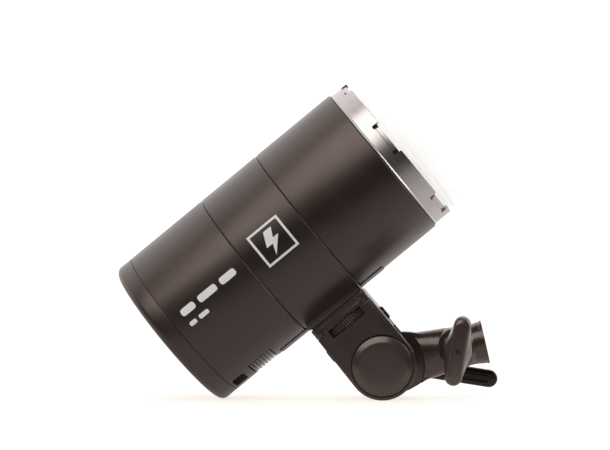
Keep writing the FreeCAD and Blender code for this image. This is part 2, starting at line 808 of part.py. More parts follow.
def stand_arm():
    tongue = plate(
        [
            (0, -TONGUE_R),
            (12, -18.3),
            (22, -NECK_HALF),
            (30, -12.0),
            (30, 12.0),
            (22, NECK_HALF),
            (12, 18.3),
            (0, TONGUE_R),
            (-TONGUE_R, 0, "arc"),
        ],
        -TONGUE_HALF_Y,
        TONGUE_HALF_Y,
    )
    clearance = round_bar((0, -40, 0), (0, 40, 0), NECK_START_R)
    neck = spin(neck_profile()).cut(clearance)
    scoops = []
    for side in (NEAR, FAR):
        scoops.append(round_bar((29.0, side * 32.0, -30), (29.0, side * 32.0, 30), 19.5))
    neck = cut(neck, *scoops)
    boss = round_bar((CLAMP_X, -10, 0), (CLAMP_X, -20.0, 0), 8.6)
    boss = round_edges(boss, 1.0, lambda middle, e: middle.y < -19)
    body = fuse(neck, tongue, boss)
    return cut(
        body,
        round_bar((0, -40, 0), (0, 40, 0), BOLT_R + RUNNING),
        disc(SOCKET_FLOOR_X, SOCKET_END_X + 1, BUSH_R),
        round_bar((CLAMP_X, 0, 0), (CLAMP_X, -13.0, 0), PAD_HOLE_R),
        round_bar((CLAMP_X, -12, 0), (CLAMP_X, -40, 0), CLAMP_SCREW_R + RUNNING),
    )


def socket_bush():
    bush = disc(SOCKET_FLOOR_X, SOCKET_END_X - 0.6, BUSH_R, SOCKET_BORE_R)
    return bush.cut(round_bar((CLAMP_X, 0, 0), (CLAMP_X, -20, 0), PAD_HOLE_R))


def clamp_pad():
    pad = round_bar((CLAMP_X, -10.6, 0), (CLAMP_X, -8.2, 0), PAD_R)
    return pad.cut(round_bar((CLAMP_X, -10.6, 0), (CLAMP_X, -9.8, 0), TIP_R + RUNNING))


def clamp_screw():
    tip = round_bar((CLAMP_X, -9.85, 0), (CLAMP_X, -10.65, 0), TIP_R)
    thread = round_bar((CLAMP_X, -10.65, 0), (CLAMP_X, HANDLE_BASE_Y - 1, 0), CLAMP_SCREW_R)
    return fuse(tip, thread)


def clamp_handle():
    """A bar-shaped wing on a flared hub, drawn lying along Z at the clamp screw."""
    half = HANDLE_LENGTH / 2
    tip = HANDLE_WIDTH / 2
    reach = half - tip
    bar = plate(
        [
            (tip, -reach),
            (tip, reach),
            (0, half, "arc"),
            (-tip, reach),
            (-tip, -reach),
            (0, -half, "arc"),
        ],
        HANDLE_FACE_Y,
        HANDLE_FACE_Y + 9.0,
    )
    bar = round_edges(bar, 1.4, lambda middle, e: abs(middle.y - HANDLE_FACE_Y) < 0.01)
    hub = Part.makeCone(8.8, 3.6, 17.0, V(0, HANDLE_BASE_Y, 0), V(0, -1, 0))
    shoulder = 0.75 * reach
    swell = [(WING_HALF, 0), (tip, -shoulder), (-tip, -shoulder), (-WING_HALF, 0), (-tip, shoulder), (tip, shoulder)]
    wing = plate(swell, HANDLE_FACE_Y + 6.5, HANDLE_FACE_Y + 9.0)
    handle = fuse(bar, hub, wing)
    handle = handle.cut(round_bar((0, 0, 0), (0, HANDLE_BASE_Y - 1, 0), CLAMP_SCREW_R))
    handle = handle.cut(round_bar((0, HANDLE_FACE_Y - 1, 0), (0, HANDLE_FACE_Y + 1.2, 0), 1.3))
    lean = HANDLE_LEAN - ARM_RISE
    handle.rotate(V(0, 0, 0), V(0, 1, 0), 90 - lean)
    handle.translate(V(CLAMP_X, 0, 0))
    return handle


def handle_pin():
    return round_bar((CLAMP_X, HANDLE_FACE_Y + 1.2, 0), (CLAMP_X, HANDLE_FACE_Y + 0.3, 0), 1.2)


# Lever frame


def tilt_lever():
    half = LEVER_WIDTH / 2
    y0, y1 = LEVER_Y
    straight = LEVER_LENGTH - half
    blade = plate([(0, -half), (straight, -half), (LEVER_LENGTH, 0, "arc"), (straight, half), (0, half)], y0, y1)
    blade = round_edges(blade, 1.6, lambda middle, e: e.BoundBox.YLength < 0.01 and middle.x > 2)
    hub = round_bar((0, BLOCK_HALF_Y + 0.4, 0), (0, y1, 0), 12.5)
    hub = round_edges(hub, 1.2, lambda middle, e: middle.y > y1 - 0.1)
    body = fuse(blade, hub)
    grooves = []
    for z in (-1.9, 1.9):
        for low, high in ((y0 - 1, y0 + GROOVE_DEPTH), (y1 - GROOVE_DEPTH, y1 + 1)):
            grooves.append(rounded_block((20.0, straight), (low, high), (z - 0.7, z + 0.7), 0.6, "y"))
    return cut(body, round_bar((0, 0, 0), (0, 60, 0), BOLT_R + RUNNING), *grooves)


# Placing


def hub_drop():
    """How far the hinge is below the optical axis, so that rear rim and hub both touch the table."""
    rise = math.radians(HEAD_RISE)
    behind = -REAR_X - CORNER_R
    below = BODY_R - CORNER_R
    return (behind * math.sin(rise) + below * math.cos(rise) + CORNER_R - HUB_R) / math.cos(rise)


HUB_DROP = hub_drop()

HEAD = [
    rear_cap,
    rear_housing,
    middle_band,
    front_housing,
    mount_ring,
    dome_gasket,
    dome,
    inlet_grille,
    underside_pads,
    usb_port,
    display_window,
    display_module,
    control_board,
    dial_encoder,
    dial_knob,
    panel_screws,
    chassis,
    battery_cells,
    cell_cradle,
    capacitors,
    power_board,
    trigger_board,
    fan_frame,
    fan_rotor,
    heat_sink,
    tube_socket,
    flash_tube,
    lamp_board,
    reflector,
    threaded_insert,
    mount_plate,
    stand_block,
    thumbwheel,
    mounting_screw,
    umbrella_tube,
    pinch_screw,
    hinge_cap,
    hinge_bolt,
    hinge_nut,
    friction_discs,
]
ARM = [stand_arm, socket_bush, clamp_pad, clamp_screw, clamp_handle, handle_pin]
LEVER = [tilt_lever]

ORIGIN = V(0, 0, 0)
ACROSS = V(0, 1, 0)


def at_hinge(shape, rise):
    """A shape drawn about the hinge, turned to its angle and lifted off the table."""
    shape.rotate(ORIGIN, ACROSS, -rise)
    shape.translate(V(0, 0, HUB_R))
    return shape


def build():
    pieces = {}
    for make in HEAD:
        pieces[make.__name__] = make()
    pieces["charge_light"] = charge_light_bar(1.0)
    for name, (y, z) in BUTTON_PLACES.items():
        pieces[name] = panel_button(y, z)
    for shape in pieces.values():
        shape.translate(V(0, 0, HUB_DROP))
        at_hinge(shape, HEAD_RISE)
    for make in ARM:
        pieces[make.__name__] = at_hinge(make(), ARM_RISE)
    for make in LEVER:
        pieces[make.__name__] = at_hinge(make(), -LEVER_DROP)
    return pieces


def centre(pieces):
    """Moves every piece so that the origin is under the middle of the whole, and returns the move."""
    boxes = [shape.optimalBoundingBox(False, False) for shape in pieces.values()]
    middle_x = (min(b.XMin for b in boxes) + max(b.XMax for b in boxes)) / 2
    middle_y = (min(b.YMin for b in boxes) + max(b.YMax for b in boxes)) / 2
    lowest = min(b.ZMin for b in boxes)
    move = V(-middle_x, -middle_y, -lowest)
    for shape in pieces.values():
        shape.translate(move)
    size = [max(getattr(b, a + "Max") for b in boxes) - min(getattr(b, a + "Min") for b in boxes) for a in "XYZ"]
    print("size", [round(s, 2) for s in size])
    return move


def head_point(x, y, z, move):
    """Where a point of the head's frame lies in the finished part."""
    spot = FreeCAD.Rotation(ACROSS, -HEAD_RISE).multVec(V(x, y, z + HUB_DROP))
    return spot + V(0, 0, HUB_R) + move


def arm_point(x, y, z, move):
    """Where a point of the arm's frame lies in the finished part."""
    return FreeCAD.Rotation(ACROSS, -ARM_RISE).multVec(V(x, y, z)) + V(0, 0, HUB_R) + move


def main():
    os.makedirs("parts", exist_ok=True)
    pieces = build()
    move = centre(pieces)
    for name, shape in pieces.items():
        if not shape.isValid():
            print("not valid:", name)
        shape.exportStep(f"parts/{name}.step")
    print(len(pieces), "pieces")
    spots = {
        "hinge": arm_point(0, 0, 0, move),
        "socket mouth": arm_point(SOCKET_END_X, 0, 0, move),
        "clamp": arm_point(CLAMP_X, 0, 0, move),
        "thumbwheel": head_point(0, 0, WHEEL_Z, move),
        "umbrella": head_point(0, 0, UMBRELLA_Z, move),
        "ring": head_point(RING_FRONT_X, 0, 0, move),
        "dial": head_point(PANEL_X, 0, DIAL_Z, move),
        "axis": head_point(0, 0, 0, move),
        "port": head_point(PORT_X, PORT_Y, PORT_FLOOR_Z, move),
    }
    for name, spot in spots.items():
        print(name, [round(value, 3) for value in spot])


main()
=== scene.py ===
import json
from math import asin, atan2, copysign, cos, degrees, hypot, pi, radians, sin, tan, tau

import bmesh
import bpy
from mathutils import Matrix, Vector


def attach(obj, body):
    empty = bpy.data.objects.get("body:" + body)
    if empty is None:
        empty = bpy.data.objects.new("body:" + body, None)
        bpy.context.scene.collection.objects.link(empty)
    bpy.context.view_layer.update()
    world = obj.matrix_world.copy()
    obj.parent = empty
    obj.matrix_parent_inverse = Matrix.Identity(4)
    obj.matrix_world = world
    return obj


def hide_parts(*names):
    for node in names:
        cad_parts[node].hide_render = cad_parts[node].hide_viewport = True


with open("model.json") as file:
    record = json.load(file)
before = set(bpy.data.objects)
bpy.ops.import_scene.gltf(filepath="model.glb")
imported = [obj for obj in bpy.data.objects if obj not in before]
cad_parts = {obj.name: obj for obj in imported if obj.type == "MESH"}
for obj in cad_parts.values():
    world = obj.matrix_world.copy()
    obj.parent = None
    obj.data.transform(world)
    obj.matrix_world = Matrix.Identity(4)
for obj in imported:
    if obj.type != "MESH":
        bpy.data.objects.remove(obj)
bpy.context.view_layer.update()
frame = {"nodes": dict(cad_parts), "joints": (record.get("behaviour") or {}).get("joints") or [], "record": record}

# Pieces are drawn in millimetres in the frame of the head, the arm or the lever, then placed in metres.
#   head  +X along the optical axis to the front, +Z up, origin on the axis over the hinge
#   arm   +X from the hinge out along the stand socket, origin at the hinge
#   lever +X from the hinge out to the lever's tip, origin at the hinge

MM = 0.001

joints = {joint["name"]: joint for joint in frame["joints"]}
mounts = {mount["name"]: mount for mount in frame["record"]["mounts"]}
ACROSS = Vector((0, 1, 0))


def frame_matrix(origin, forward):
    """The frame with that origin, +X forward and +Y across."""
    up = forward.cross(ACROSS).normalized()
    turn = Matrix((forward, ACROSS, up)).transposed()
    return Matrix.Translation(origin) @ turn.to_4x4()


hinge = Vector(joints["tilt"]["pos_m"])
optical = Vector(joints["fan_spin"]["axis"]).normalized()
on_axis = Vector(joints["fan_spin"]["pos_m"])
LEVER_DROP = radians(8.7)
HEAD = frame_matrix(on_axis + optical * (hinge - on_axis).dot(optical), optical)
ARM = frame_matrix(hinge, Vector(mounts["stand_socket"]["axis"]).normalized())
LEVER = frame_matrix(hinge, Vector((cos(LEVER_DROP), 0, -sin(LEVER_DROP))))


def reach(node, where=HEAD):
    """Lowest and highest corner of a CAD node in one of the frames, in millimetres."""
    back = where.inverted()
    spots = [back @ v.co / MM for v in frame["nodes"][node].data.vertices]
    low = Vector([min(s[i] for s in spots) for i in range(3)])
    high = Vector([max(s[i] for s in spots) for i in range(3)])
    return low, high


# Driving sizes, read from the frame
REAR_X, CAP_SEAM_X = (corner.x for corner in reach("rear_cap"))
BAND_REAR_X = reach("rear_housing")[1].x
BAND_FRONT_X = reach("front_housing")[0].x
HOUSING_FRONT_X, BODY_R = reach("front_housing")[1].xy
RING_FRONT_X, RING_RIM_R = reach("mount_ring")[1].xy
RING_R = mounts["accessory_ring"]["dims"]["r_mm"]
DOME_APEX_X, DOME_R = reach("dome")[1].xy
HUB_Z = (HEAD.inverted() @ hinge).z / MM
HUB_R = hinge.z / MM
BLOCK_HALF_X, BLOCK_HALF_Y = reach("mount_plate")[1].xy
UMBRELLA_Z = (HEAD.inverted() @ Vector(mounts["umbrella_sleeve"]["pos_m"])).z / MM
DIAL_Z = (HEAD.inverted() @ Vector(joints["dial_turn"]["pos_m"]) / MM).z
WHEEL_Z = (HEAD.inverted() @ Vector(joints["wheel_turn"]["pos_m"])).z / MM
CLAMP_X = (ARM.inverted() @ Vector(joints["clamp_turn"]["pos_m"])).x / MM
SOCKET_END_X = reach("stand_arm", ARM)[1].x

HUMP_TOP_Z = reach("stand_block")[1].z
PLATE_BOTTOM_Z = reach("mount_plate")[0].z - 0.1
CAP_R = reach("hinge_cap")[1].x
SOCKET_AXIS = mounts["stand_socket"]["axis"]
ARM_RISE = degrees(atan2(SOCKET_AXIS[2], SOCKET_AXIS[0]))

# Sizes chosen for the visible pieces, in millimetres and degrees
WALL = 2.4
INNER_R = BODY_R - WALL
BAND_INNER_R = INNER_R - 2.2
FLANGE_R = 44.0
SEAM_CHAMFER = 0.62
SEAM_ROUND = 0.2
SEAM_GAP = 0.16
WELL_R = 43.5
PANEL_X = REAR_X + 5.4
PANEL_WALL = 2.8
CORNER_R = 4.0  # the rear rim's rounding
FOOT_CORNER_R = 2.2  # the saddle and the bracket's plate, seen from below
NOTCH_MIDDLES = (-74.0, -8.25, 59.0, 135.0, 210.0)
# the slots of these notches get painted shade: near-black floors
SHADED_NOTCHES = (-8.25, 135.0, 210.0)  # their slots look black; the others look bright
NOTCH_SPAN = 25.5
NOTCH_SLOT = 2.9
WINDOW_HALF_X = 12.2
WINDOW_HALF_Z = 2.75
HUMP_HALF_X = 14.7
SLOT_HALF_Y = 7.9
MOUNT_SCREW_HOLE_R = 5.4
SADDLE_BORE_R = 8.0
SLEEVE_R = 4.2
SLEEVE_BORE_R = 3.6
SLEEVE_RIM_R = 4.9
HINGE_BOLT_HOLE_R = 5.05
NECK_START_X = 16.0
NECK_START_R = 25.8
TONGUE_HALF_Y = 6.8
TONGUE_R = 18.6
BUSH_R = 9.6
PAD_HOLE_R = 4.7
CLAMP_SCREW_HOLE_R = 4.05
BOSS_R = 8.6
HANDLE_LEAN = 80.0
PIN_HOLE_R = 1.35
PIN_HOLE_DEPTH = 1.25

# The neck of the arm, as (place along it, value) pairs
NECK_HEIGHT = ((16.0, 15.6), (31.0, 14.2), (42.0, 13.4), (54.0, 12.0), (66.0, 13.7))
NECK_DEPTH = ((16.0, 11.4), (31.0, 11.1), (42.0, 11.8), (54.0, 12.0), (66.0, 13.7))
NECK_SQUARENESS = ((16.0, 3.2), (28.0, 2.7), (40.0, 2.15), (50.0, 2.0), (66.0, 2.0))

BUTTONS = ("power", "test", "lamp", "menu")

# Sides of the turned pieces
TURN_STEPS = 224
BORE_STEPS = 192
SHORT_ARC_STEPS = 480  # for a full circle, where a piece takes only part of one
SLOT_STEPS = 1440


# Outlines


def softened(points, radius=0.0, steps=4):
    """A closed outline with its corners rounded. A point's third entry is its own radius."""
    result = []
    count = len(points)
    for i, point in enumerate(points):
        here = Vector(point[:2])
        size = point[2] if len(point) > 2 else radius
        before = Vector(points[i - 1][:2]) - here
        after = Vector(points[(i + 1) % count][:2]) - here
        sharp = size <= 0 or before.length < 1e-6 or after.length < 1e-6
        opening = pi if sharp else before.angle(after)
        if opening > pi - 0.02:
            result.append(here)
            continue
        back = min(size / tan(opening / 2), 0.48 * before.length, 0.48 * after.length)
        start, end = here + before.normalized() * back, here + after.normalized() * back
        for step in range(steps + 1):
            t = step / steps
            result.append(start * (1 - t) ** 2 + here * 2 * t * (1 - t) + end * t**2)
    return result


def arc(centre, radius, start, end, steps):
    """Points on an arc, with angles in degrees from the first axis towards the second."""
    points = []
    for step in range(steps + 1):
        angle = radians(start + (end - start) * step / steps)
        points.append((centre[0] + radius * cos(angle), centre[1] + radius * sin(angle)))
    return points


def rectangle(low, high):
    return [(low[0], low[1]), (high[0], low[1]), (high[0], high[1]), (low[0], high[1])]


# Solids on the bench, in millimetres


def linked(name, data):
    """A new object in the scene."""
    piece = bpy.data.objects.new(name, data)
    bpy.context.scene.collection.objects.link(piece)
    return piece


def solid(vertices, faces):
    """A mesh object from points and faces, with doubled points merged and normals outwards."""
    mesh = bpy.data.meshes.new("bench")
    mesh.from_pydata([tuple(v) for v in vertices], [], faces)
    piece = linked("bench", mesh)
    clean(piece)
    return piece


def clean(piece, merge=1e-4):
    work = bmesh.new()
    work.from_mesh(piece.data)
    bmesh.ops.remove_doubles(work, verts=work.verts, dist=merge)
    bmesh.ops.dissolve_degenerate(work, edges=work.edges, dist=1e-5)
    wires = [edge for edge in work.edges if not edge.link_faces]
    bmesh.ops.delete(work, geom=wires, context="EDGES")
    bmesh.ops.recalc_face_normals(work, faces=work.faces)
    work.to_mesh(piece.data)
    work.free()


def loops_to_solid(loops, closed):
    """Rings of points joined into a skin. Open skins get a cap at each end."""
    size = len(loops[0])
    faces = []
    for i in range(len(loops) if closed else len(loops) - 1):
        a, b = i * size, (i + 1) % len(loops) * size
        for k in range(size):
            n = (k + 1) % size
            faces.append((a + k, a + n, b + n, b + k))
    if not closed:
        faces.append(tuple(range(size)))
        faces.append(tuple(range((len(loops) - 1) * size, len(loops) * size)))
    return solid([v for loop in loops for v in loop], faces)


def lathe(profile, start=0.0, span=360.0, steps=TURN_STEPS):
    """A closed (x, radius) outline turned about X. Angles are from the near side, down."""
    full = span >= 359.9
    count = steps if full else max(2, round(steps * span / 360) + 1)
    loops = []
    for i in range(count):
        angle = radians(start + span * i / (count if full else count - 1))
        loops.append([(p[0], -p[1] * cos(angle), -p[1] * sin(angle)) for p in profile])
    return loops_to_solid(loops, full)


def turned(profile, place, steps):
    """A closed (along, radius) outline turned full circle. place puts (along, u, v) in x, y, z."""
    loops = []
    for i in range(steps):
        angle = tau * i / steps
        loops.append([place(p[0], p[1] * cos(angle), p[1] * sin(angle)) for p in profile])
    return loops_to_solid(loops, True)


def turned_y(profile, x=0.0, z=0.0, steps=128):
    """A closed (y, radius) outline turned about an axis along Y through x, z."""
    return turned(profile, lambda y, u, v: (x + u, y, z + v), steps)


def turned_z(profile, steps=128):
    """A closed (z, radius) outline turned about Z."""
    return turned(profile, lambda z, u, v: (u, v, z), steps)


def prism(outline, low, high, along):
    """An outline made thick along an axis. The outline is in (x, z) for y, (y, z) for x and (x, y) for z."""
    place = {
        "x": lambda p, d: (d, p[0], p[1]),
        "y": lambda p, d: (p[0], d, p[1]),
        "z": lambda p, d: (p[0], p[1], d),
    }[along]
    return loops_to_solid([[place(p, low) for p in outline], [place(p, high) for p in outline]], False)


def bar(start, end, radius, steps=64):
    """A round bar between two points."""
    start, end = Vector(start), Vector(end)
    turn = (end - start).to_track_quat("X", "Z").to_matrix()
    loops = []
    for spot in (start, end):
        ring = []
        for i in range(steps):
            angle = tau * i / steps
            ring.append(spot + turn @ Vector((0, radius * cos(angle), radius * sin(angle))))
        loops.append(ring)
    return loops_to_solid(loops, False)


def applied(piece):
    """The piece with its modifiers made real."""
    graph = bpy.context.evaluated_depsgraph_get()
    graph.update()
    mesh = bpy.data.meshes.new_from_object(piece.evaluated_get(graph))
    piece.modifiers.clear()
    piece.data = mesh
    return piece


def combined(operation, piece, others):
    for other in others:
        step = piece.modifiers.new("join", "BOOLEAN")
        step.operation, step.solver, step.object = operation, "EXACT", other
        applied(piece)
        bpy.data.objects.remove(other)
    clean(piece)
    return piece


def cut(piece, *others):
    return combined("DIFFERENCE", piece, others)


def fuse(piece, *others):
    return combined("UNION", piece, others)


def grouped(*parts):
    """Several closed bodies as one piece."""
    work = bmesh.new()
    for part in parts:
        work.from_mesh(part.data)
        bpy.data.objects.remove(part)
    mesh = bpy.data.meshes.new("bench")
    work.to_mesh(mesh)
    work.free()
    return linked("bench", mesh)


def eased(piece, width, angle=40.0, segments=3):
    """The piece with its sharp edges rounded."""
    step = piece.modifiers.new("ease", "BEVEL")
    step.width, step.segments, step.limit_method = width, segments, "ANGLE"
    step.angle_limit = radians(angle)
    step.miter_outer = "MITER_ARC"
    applied(piece)
    clean(piece)
    return piece


def moved(piece, change):
    piece.data.transform(change)
    return piece


def settle(piece, name, finish, nodes, smooth=35.0, where=HEAD, body="head"):
    """Names a finished piece, puts it in its place in metres and ties it to the frame."""
    piece.name = piece.data.name = name
    piece.data.transform(where @ Matrix.Scale(MM, 4))
    shade(piece.data, smooth)
    piece.data.materials.clear()
    piece.data.materials.append(material(finish))
    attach(piece, body)
    if nodes:
        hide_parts(*nodes)
    return piece


def extra_finish(piece, finish, chosen):
    """Gives the faces whose middle passes the test, in the head's millimetres, one more material."""
    piece.data.materials.append(material(finish))
    back = HEAD.inverted()
    for face in piece.data.polygons:
        if chosen(back @ face.center / MM):
            face.material_index = len(piece.data.materials) - 1
    return piece


def on_chamfer(seam_x):
    """The test for the chamfer on the rear side of a seam."""

    def chosen(middle):
        radius = hypot(middle.y, middle.z)
        in_seam = seam_x - SEAM_GAP - SEAM_CHAMFER < middle.x < seam_x - SEAM_GAP
        return in_seam and BODY_R - SEAM_CHAMFER < radius < BODY_R - 0.05

    return chosen


def shade(mesh, smooth):
    mesh.shade_smooth()
    mesh.set_sharp_from_angle(angle=radians(smooth))


# Materials


def put(node, **values):
    """Sets inputs of a node. A space in an input's name is written as an underscore."""
    for key, value in values.items():
        node.inputs[key.replace("_", " ")].default_value = value
    return node


def add_node(nodes, kind, **values):
    return put(nodes.new("ShaderNode" + kind), **values)


class Surface:
    """A node material with helpers for procedural detail. Positions are the head's, in millimetres."""

    def __init__(self, name, colour, roughness):
        self.material = bpy.data.materials.new(name)
        self.material.use_nodes = True
        self.nodes = self.material.node_tree.nodes
        self.links = self.material.node_tree.links
        self.shader = self.nodes["Principled BSDF"]
        self.set(Base_Color=(*colour, 1.0), Roughness=roughness)
        self.height = None
        self.spot = self.place(HEAD)

    def set(self, **values):
        put(self.shader, **values)

    def place(self, where):
        """Positions in a frame, in millimetres."""
        coordinates = add_node(self.nodes, "TexCoord")
        back = where.inverted()
        shift, scale = back.translation / MM, (1 / MM,) * 3
        mapping = add_node(self.nodes, "Mapping", Location=shift, Rotation=back.to_euler(), Scale=scale)
        self.links.new(coordinates.outputs["Object"], mapping.inputs["Vector"])
        return mapping.outputs["Vector"]

    def stretched(self, scale):
        mapping = add_node(self.nodes, "Mapping", Scale=scale)
        self.links.new(self.spot, mapping.inputs["Vector"])
        return mapping.outputs["Vector"]

    def noise(self, size, detail=2.0, rough=0.5, vector=None):
        """Noise whose features are about that many millimetres across."""
        node = add_node(self.nodes, "TexNoise", Scale=1.0 / size, Detail=detail, Roughness=rough)
        self.links.new(vector or self.spot, node.inputs["Vector"])
        return node.outputs["Fac"]

    def ramp(self, value, low, high, start=0.3, end=0.7):
        """A value spread between two numbers."""
        node = add_node(self.nodes, "MapRange", From_Min=start, From_Max=end, To_Min=low, To_Max=high)
        self.links.new(value, node.inputs["Value"])
        return node.outputs["Result"]

    def math(self, operation, first, second):
        node = add_node(self.nodes, "Math")
        node.operation = operation
        for socket, value in zip(node.inputs, (first, second)):
            if isinstance(value, (int, float)):
                socket.default_value = value
            else:
                self.links.new(value, socket)
        return node.outputs[0]

    def tint(self, value, dark, light):
        """The base colour varied between two colours by a value."""
        node = add_node(self.nodes, "Mix")
        node.data_type = "RGBA"
        put(node, A=(*dark, 1.0), B=(*light, 1.0))
        self.links.new(value, node.inputs["Factor"])
        self.links.new(node.outputs["Result"], self.shader.inputs["Base Color"])

    def rough(self, value):
        self.links.new(value, self.shader.inputs["Roughness"])

    def bump(self, value, depth):
        """Relief, with its depth in millimetres."""
        node = add_node(self.nodes, "Bump", Strength=1.0, Distance=depth * MM)
        self.links.new(value, node.inputs["Height"])
        if self.height:
            self.links.new(self.height, node.inputs["Normal"])
        self.height = node.outputs["Normal"]
        self.links.new(self.height, self.shader.inputs["Normal"])


def moulded(name, dark, light, roughness, grain, grain_depth, smooth_depth=0.01, level=0.8):
    """Moulded plastic: fine spark texture, a slow unevenness, and patches that are a little shinier."""
    s = Surface(name, light, roughness)
    s.set(IOR=1.5, Specular_IOR_Level=level, Specular_Tint=(1.0, 0.80, 0.72, 1.0))
    handled = s.noise(38.0, 3.0, 0.6)
    s.tint(s.ramp(handled, 0.0, 1.0, 0.3, 0.72), dark, light)
    fine = s.noise(grain, 2.0, 0.6)
    mixed = s.math("ADD", s.ramp(handled, -0.045, 0.045), s.ramp(fine, roughness - 0.035, roughness + 0.035))
    s.rough(mixed)
    s.bump(s.noise(9.0, 2.0, 0.5), smooth_depth)
    s.bump(fine, grain_depth)
    return s.material


# Dark, light, roughness, size and depth of the grain, depth of the slow unevenness, specular level
MOULDED = {
    "casing_black": ((0.014, 0.0095, 0.0085), (0.021, 0.0145, 0.013), 0.34, 0.42, 0.005, 0.01, 0.9),
    # painted highlight: a lighter, glossier copy of the casing's plastic, so seam chamfers and grille slats read
    # as bright lines
    "edge_black": ((0.03, 0.024, 0.022), (0.05, 0.042, 0.04), 0.16, 0.42, 0.002, 0.005),
    "bracket_black": ((0.025, 0.0175, 0.016), (0.036, 0.026, 0.024), 0.31, 0.7, 0.005, 0.012, 1.0),
    "arm_black": ((0.022, 0.0155, 0.0145), (0.032, 0.023, 0.021), 0.23, 0.7, 0.003, 0.006, 1.0),
    "grip_black": ((0.040, 0.030, 0.028), (0.058, 0.044, 0.041), 0.25, 0.5, 0.004, 0.012, 1.0),
    "lever_black": ((0.0030, 0.0026, 0.0025), (0.0055, 0.0048, 0.0046), 0.2, 0.7, 0.003, 0.015, 0.5),
    "rubber_black": ((0.018, 0.014, 0.013), (0.028, 0.022, 0.020), 0.42, 0.35, 0.012),
    # painted shade: near-black for pieces and faces that stand in for the shade in seams, slots, gaps, the port's
    # pocket and the handle's pin hole
    "groove_black": ((0.004, 0.004, 0.004), (0.008, 0.007, 0.007), 0.6, 0.5, 0.01),
    "inner_black": ((0.03, 0.03, 0.03), (0.05, 0.05, 0.05), 0.5, 0.5, 0.02),
    "glazed_ceramic": ((0.74, 0.72, 0.67), (0.84, 0.82, 0.78), 0.3, 0.6, 0.01),
    "cell_blue": ((0.02, 0.06, 0.16), (0.04, 0.10, 0.24), 0.3, 0.8, 0.01),
    "can_grey": ((0.03, 0.03, 0.035), (0.06, 0.06, 0.065), 0.32, 0.8, 0.01),
}


def turned_metal(name, dark, light, roughness, line, depth, axis_scale=(1.0, 0.02, 0.02), where=None):
    """Turned metal: fine tool lines round the axis, with faint stains."""
    s = Surface(name, light, roughness)
    s.set(Metallic=1.0)
    if where is not None:
        s.spot = s.place(where)
    lines = s.noise(line, 3.0, 0.7, s.stretched(axis_scale))
    cloud = s.noise(16.0, 3.0, 0.6)
    s.tint(s.ramp(cloud, 0.0, 1.0, 0.3, 0.7), dark, light)
    s.rough(s.math("ADD", s.ramp(lines, roughness - 0.04, roughness + 0.04), s.ramp(cloud, -0.02, 0.02)))
    s.bump(lines, depth)
    return s.material


# Dark, light, roughness, size and depth of the tool lines, how they are stretched, and the frame
ALL_WAYS = (1, 1, 1)
TURNED = {
    "ring_aluminium": ((0.47, 0.43, 0.425), (0.54, 0.50, 0.49), 0.30, 0.25, 0.0012),
    "bush_aluminium": ((0.60, 0.59, 0.58), (0.74, 0.73, 0.72), 0.3, 0.3, 0.006, (1.0, 0.02, 0.02), ARM),
    "bright_steel": ((0.48, 0.47, 0.46), (0.62, 0.61, 0.60), 0.26, 0.4, 0.006, ALL_WAYS),
    "black_steel": ((0.035, 0.033, 0.032), (0.07, 0.066, 0.062), 0.34, 0.4, 0.006, ALL_WAYS),
    "turned_brass": ((0.62, 0.44, 0.18), (0.80, 0.60, 0.28), 0.28, 0.4, 0.006, ALL_WAYS),
    "mirror_aluminium": ((0.85, 0.85, 0.85), (0.93, 0.93, 0.93), 0.14, 0.8, 0.01),
}


def dome_frost():
    """Frosted glass: light goes through it scattered, its skin has a fine etched grain, and it has a faint painted
    glow.
    """
    s = Surface("dome_frost", (0.95, 0.95, 0.945), 0.5)
    s.set(IOR=1.47, Transmission_Weight=0.55, Subsurface_Weight=0.35, Subsurface_Radius=(0.012,) * 3)
    # painted light: a faint emission makes the unlit dome glow
    s.set(Emission_Color=(1.0, 0.99, 0.98, 1.0), Emission_Strength=0.2)
    etched = s.noise(0.5, 2.0, 0.6)
    cloud = s.noise(30.0, 3.0, 0.5)
    s.tint(s.ramp(cloud, 0.0, 1.0), (0.92, 0.92, 0.915), (0.97, 0.97, 0.965))
    s.rough(s.ramp(etched, 0.42, 0.56))
    s.bump(etched, 0.012)
    return s.material


def clear_quartz():
    s = Surface("clear_quartz", (0.97, 0.98, 0.99), 0.05)
    s.set(Transmission_Weight=0.9, IOR=1.46)
    cloud = s.noise(6.0, 2.0, 0.5)
    s.tint(cloud, (0.93, 0.95, 0.96), (0.99, 0.99, 1.0))
    s.rough(s.ramp(cloud, 0.03, 0.10))
    return s.material


def board_green():
    s = Surface("board_green", (0.02, 0.12, 0.05), 0.35)
    tracks = add_node(s.nodes, "TexBrick", Scale=0.35, Mortar_Size=0.06)
    s.links.new(s.spot, tracks.inputs["Vector"])
    s.tint(tracks.outputs["Fac"], (0.012, 0.085, 0.035), (0.03, 0.16, 0.07))
    s.rough(s.ramp(s.noise(2.0), 0.28, 0.42))
    s.bump(tracks.outputs["Fac"], 0.03)
    return s.material


def display_black():
    """Cover glass over a dark screen, with faint finger marks."""
    s = Surface("display_black", (0.006, 0.006, 0.008), 0.08)
    s.set(IOR=1.52)
    marks = s.noise(11.0, 4.0, 0.65)
    s.tint(marks, (0.005, 0.005, 0.007), (0.012, 0.012, 0.015))
    s.rough(s.ramp(marks, 0.05, 0.2, 0.4, 0.75))
    return s.material


def pipe_clear():
    s = Surface("pipe_clear", (0.05, 0.05, 0.05), 0.2)
    s.set(Transmission_Weight=0.3)
    cloud = s.noise(1.5)
    s.tint(cloud, (0.02, 0.02, 0.02), (0.06, 0.06, 0.06))
    s.rough(s.ramp(cloud, 0.12, 0.26))
    return s.material


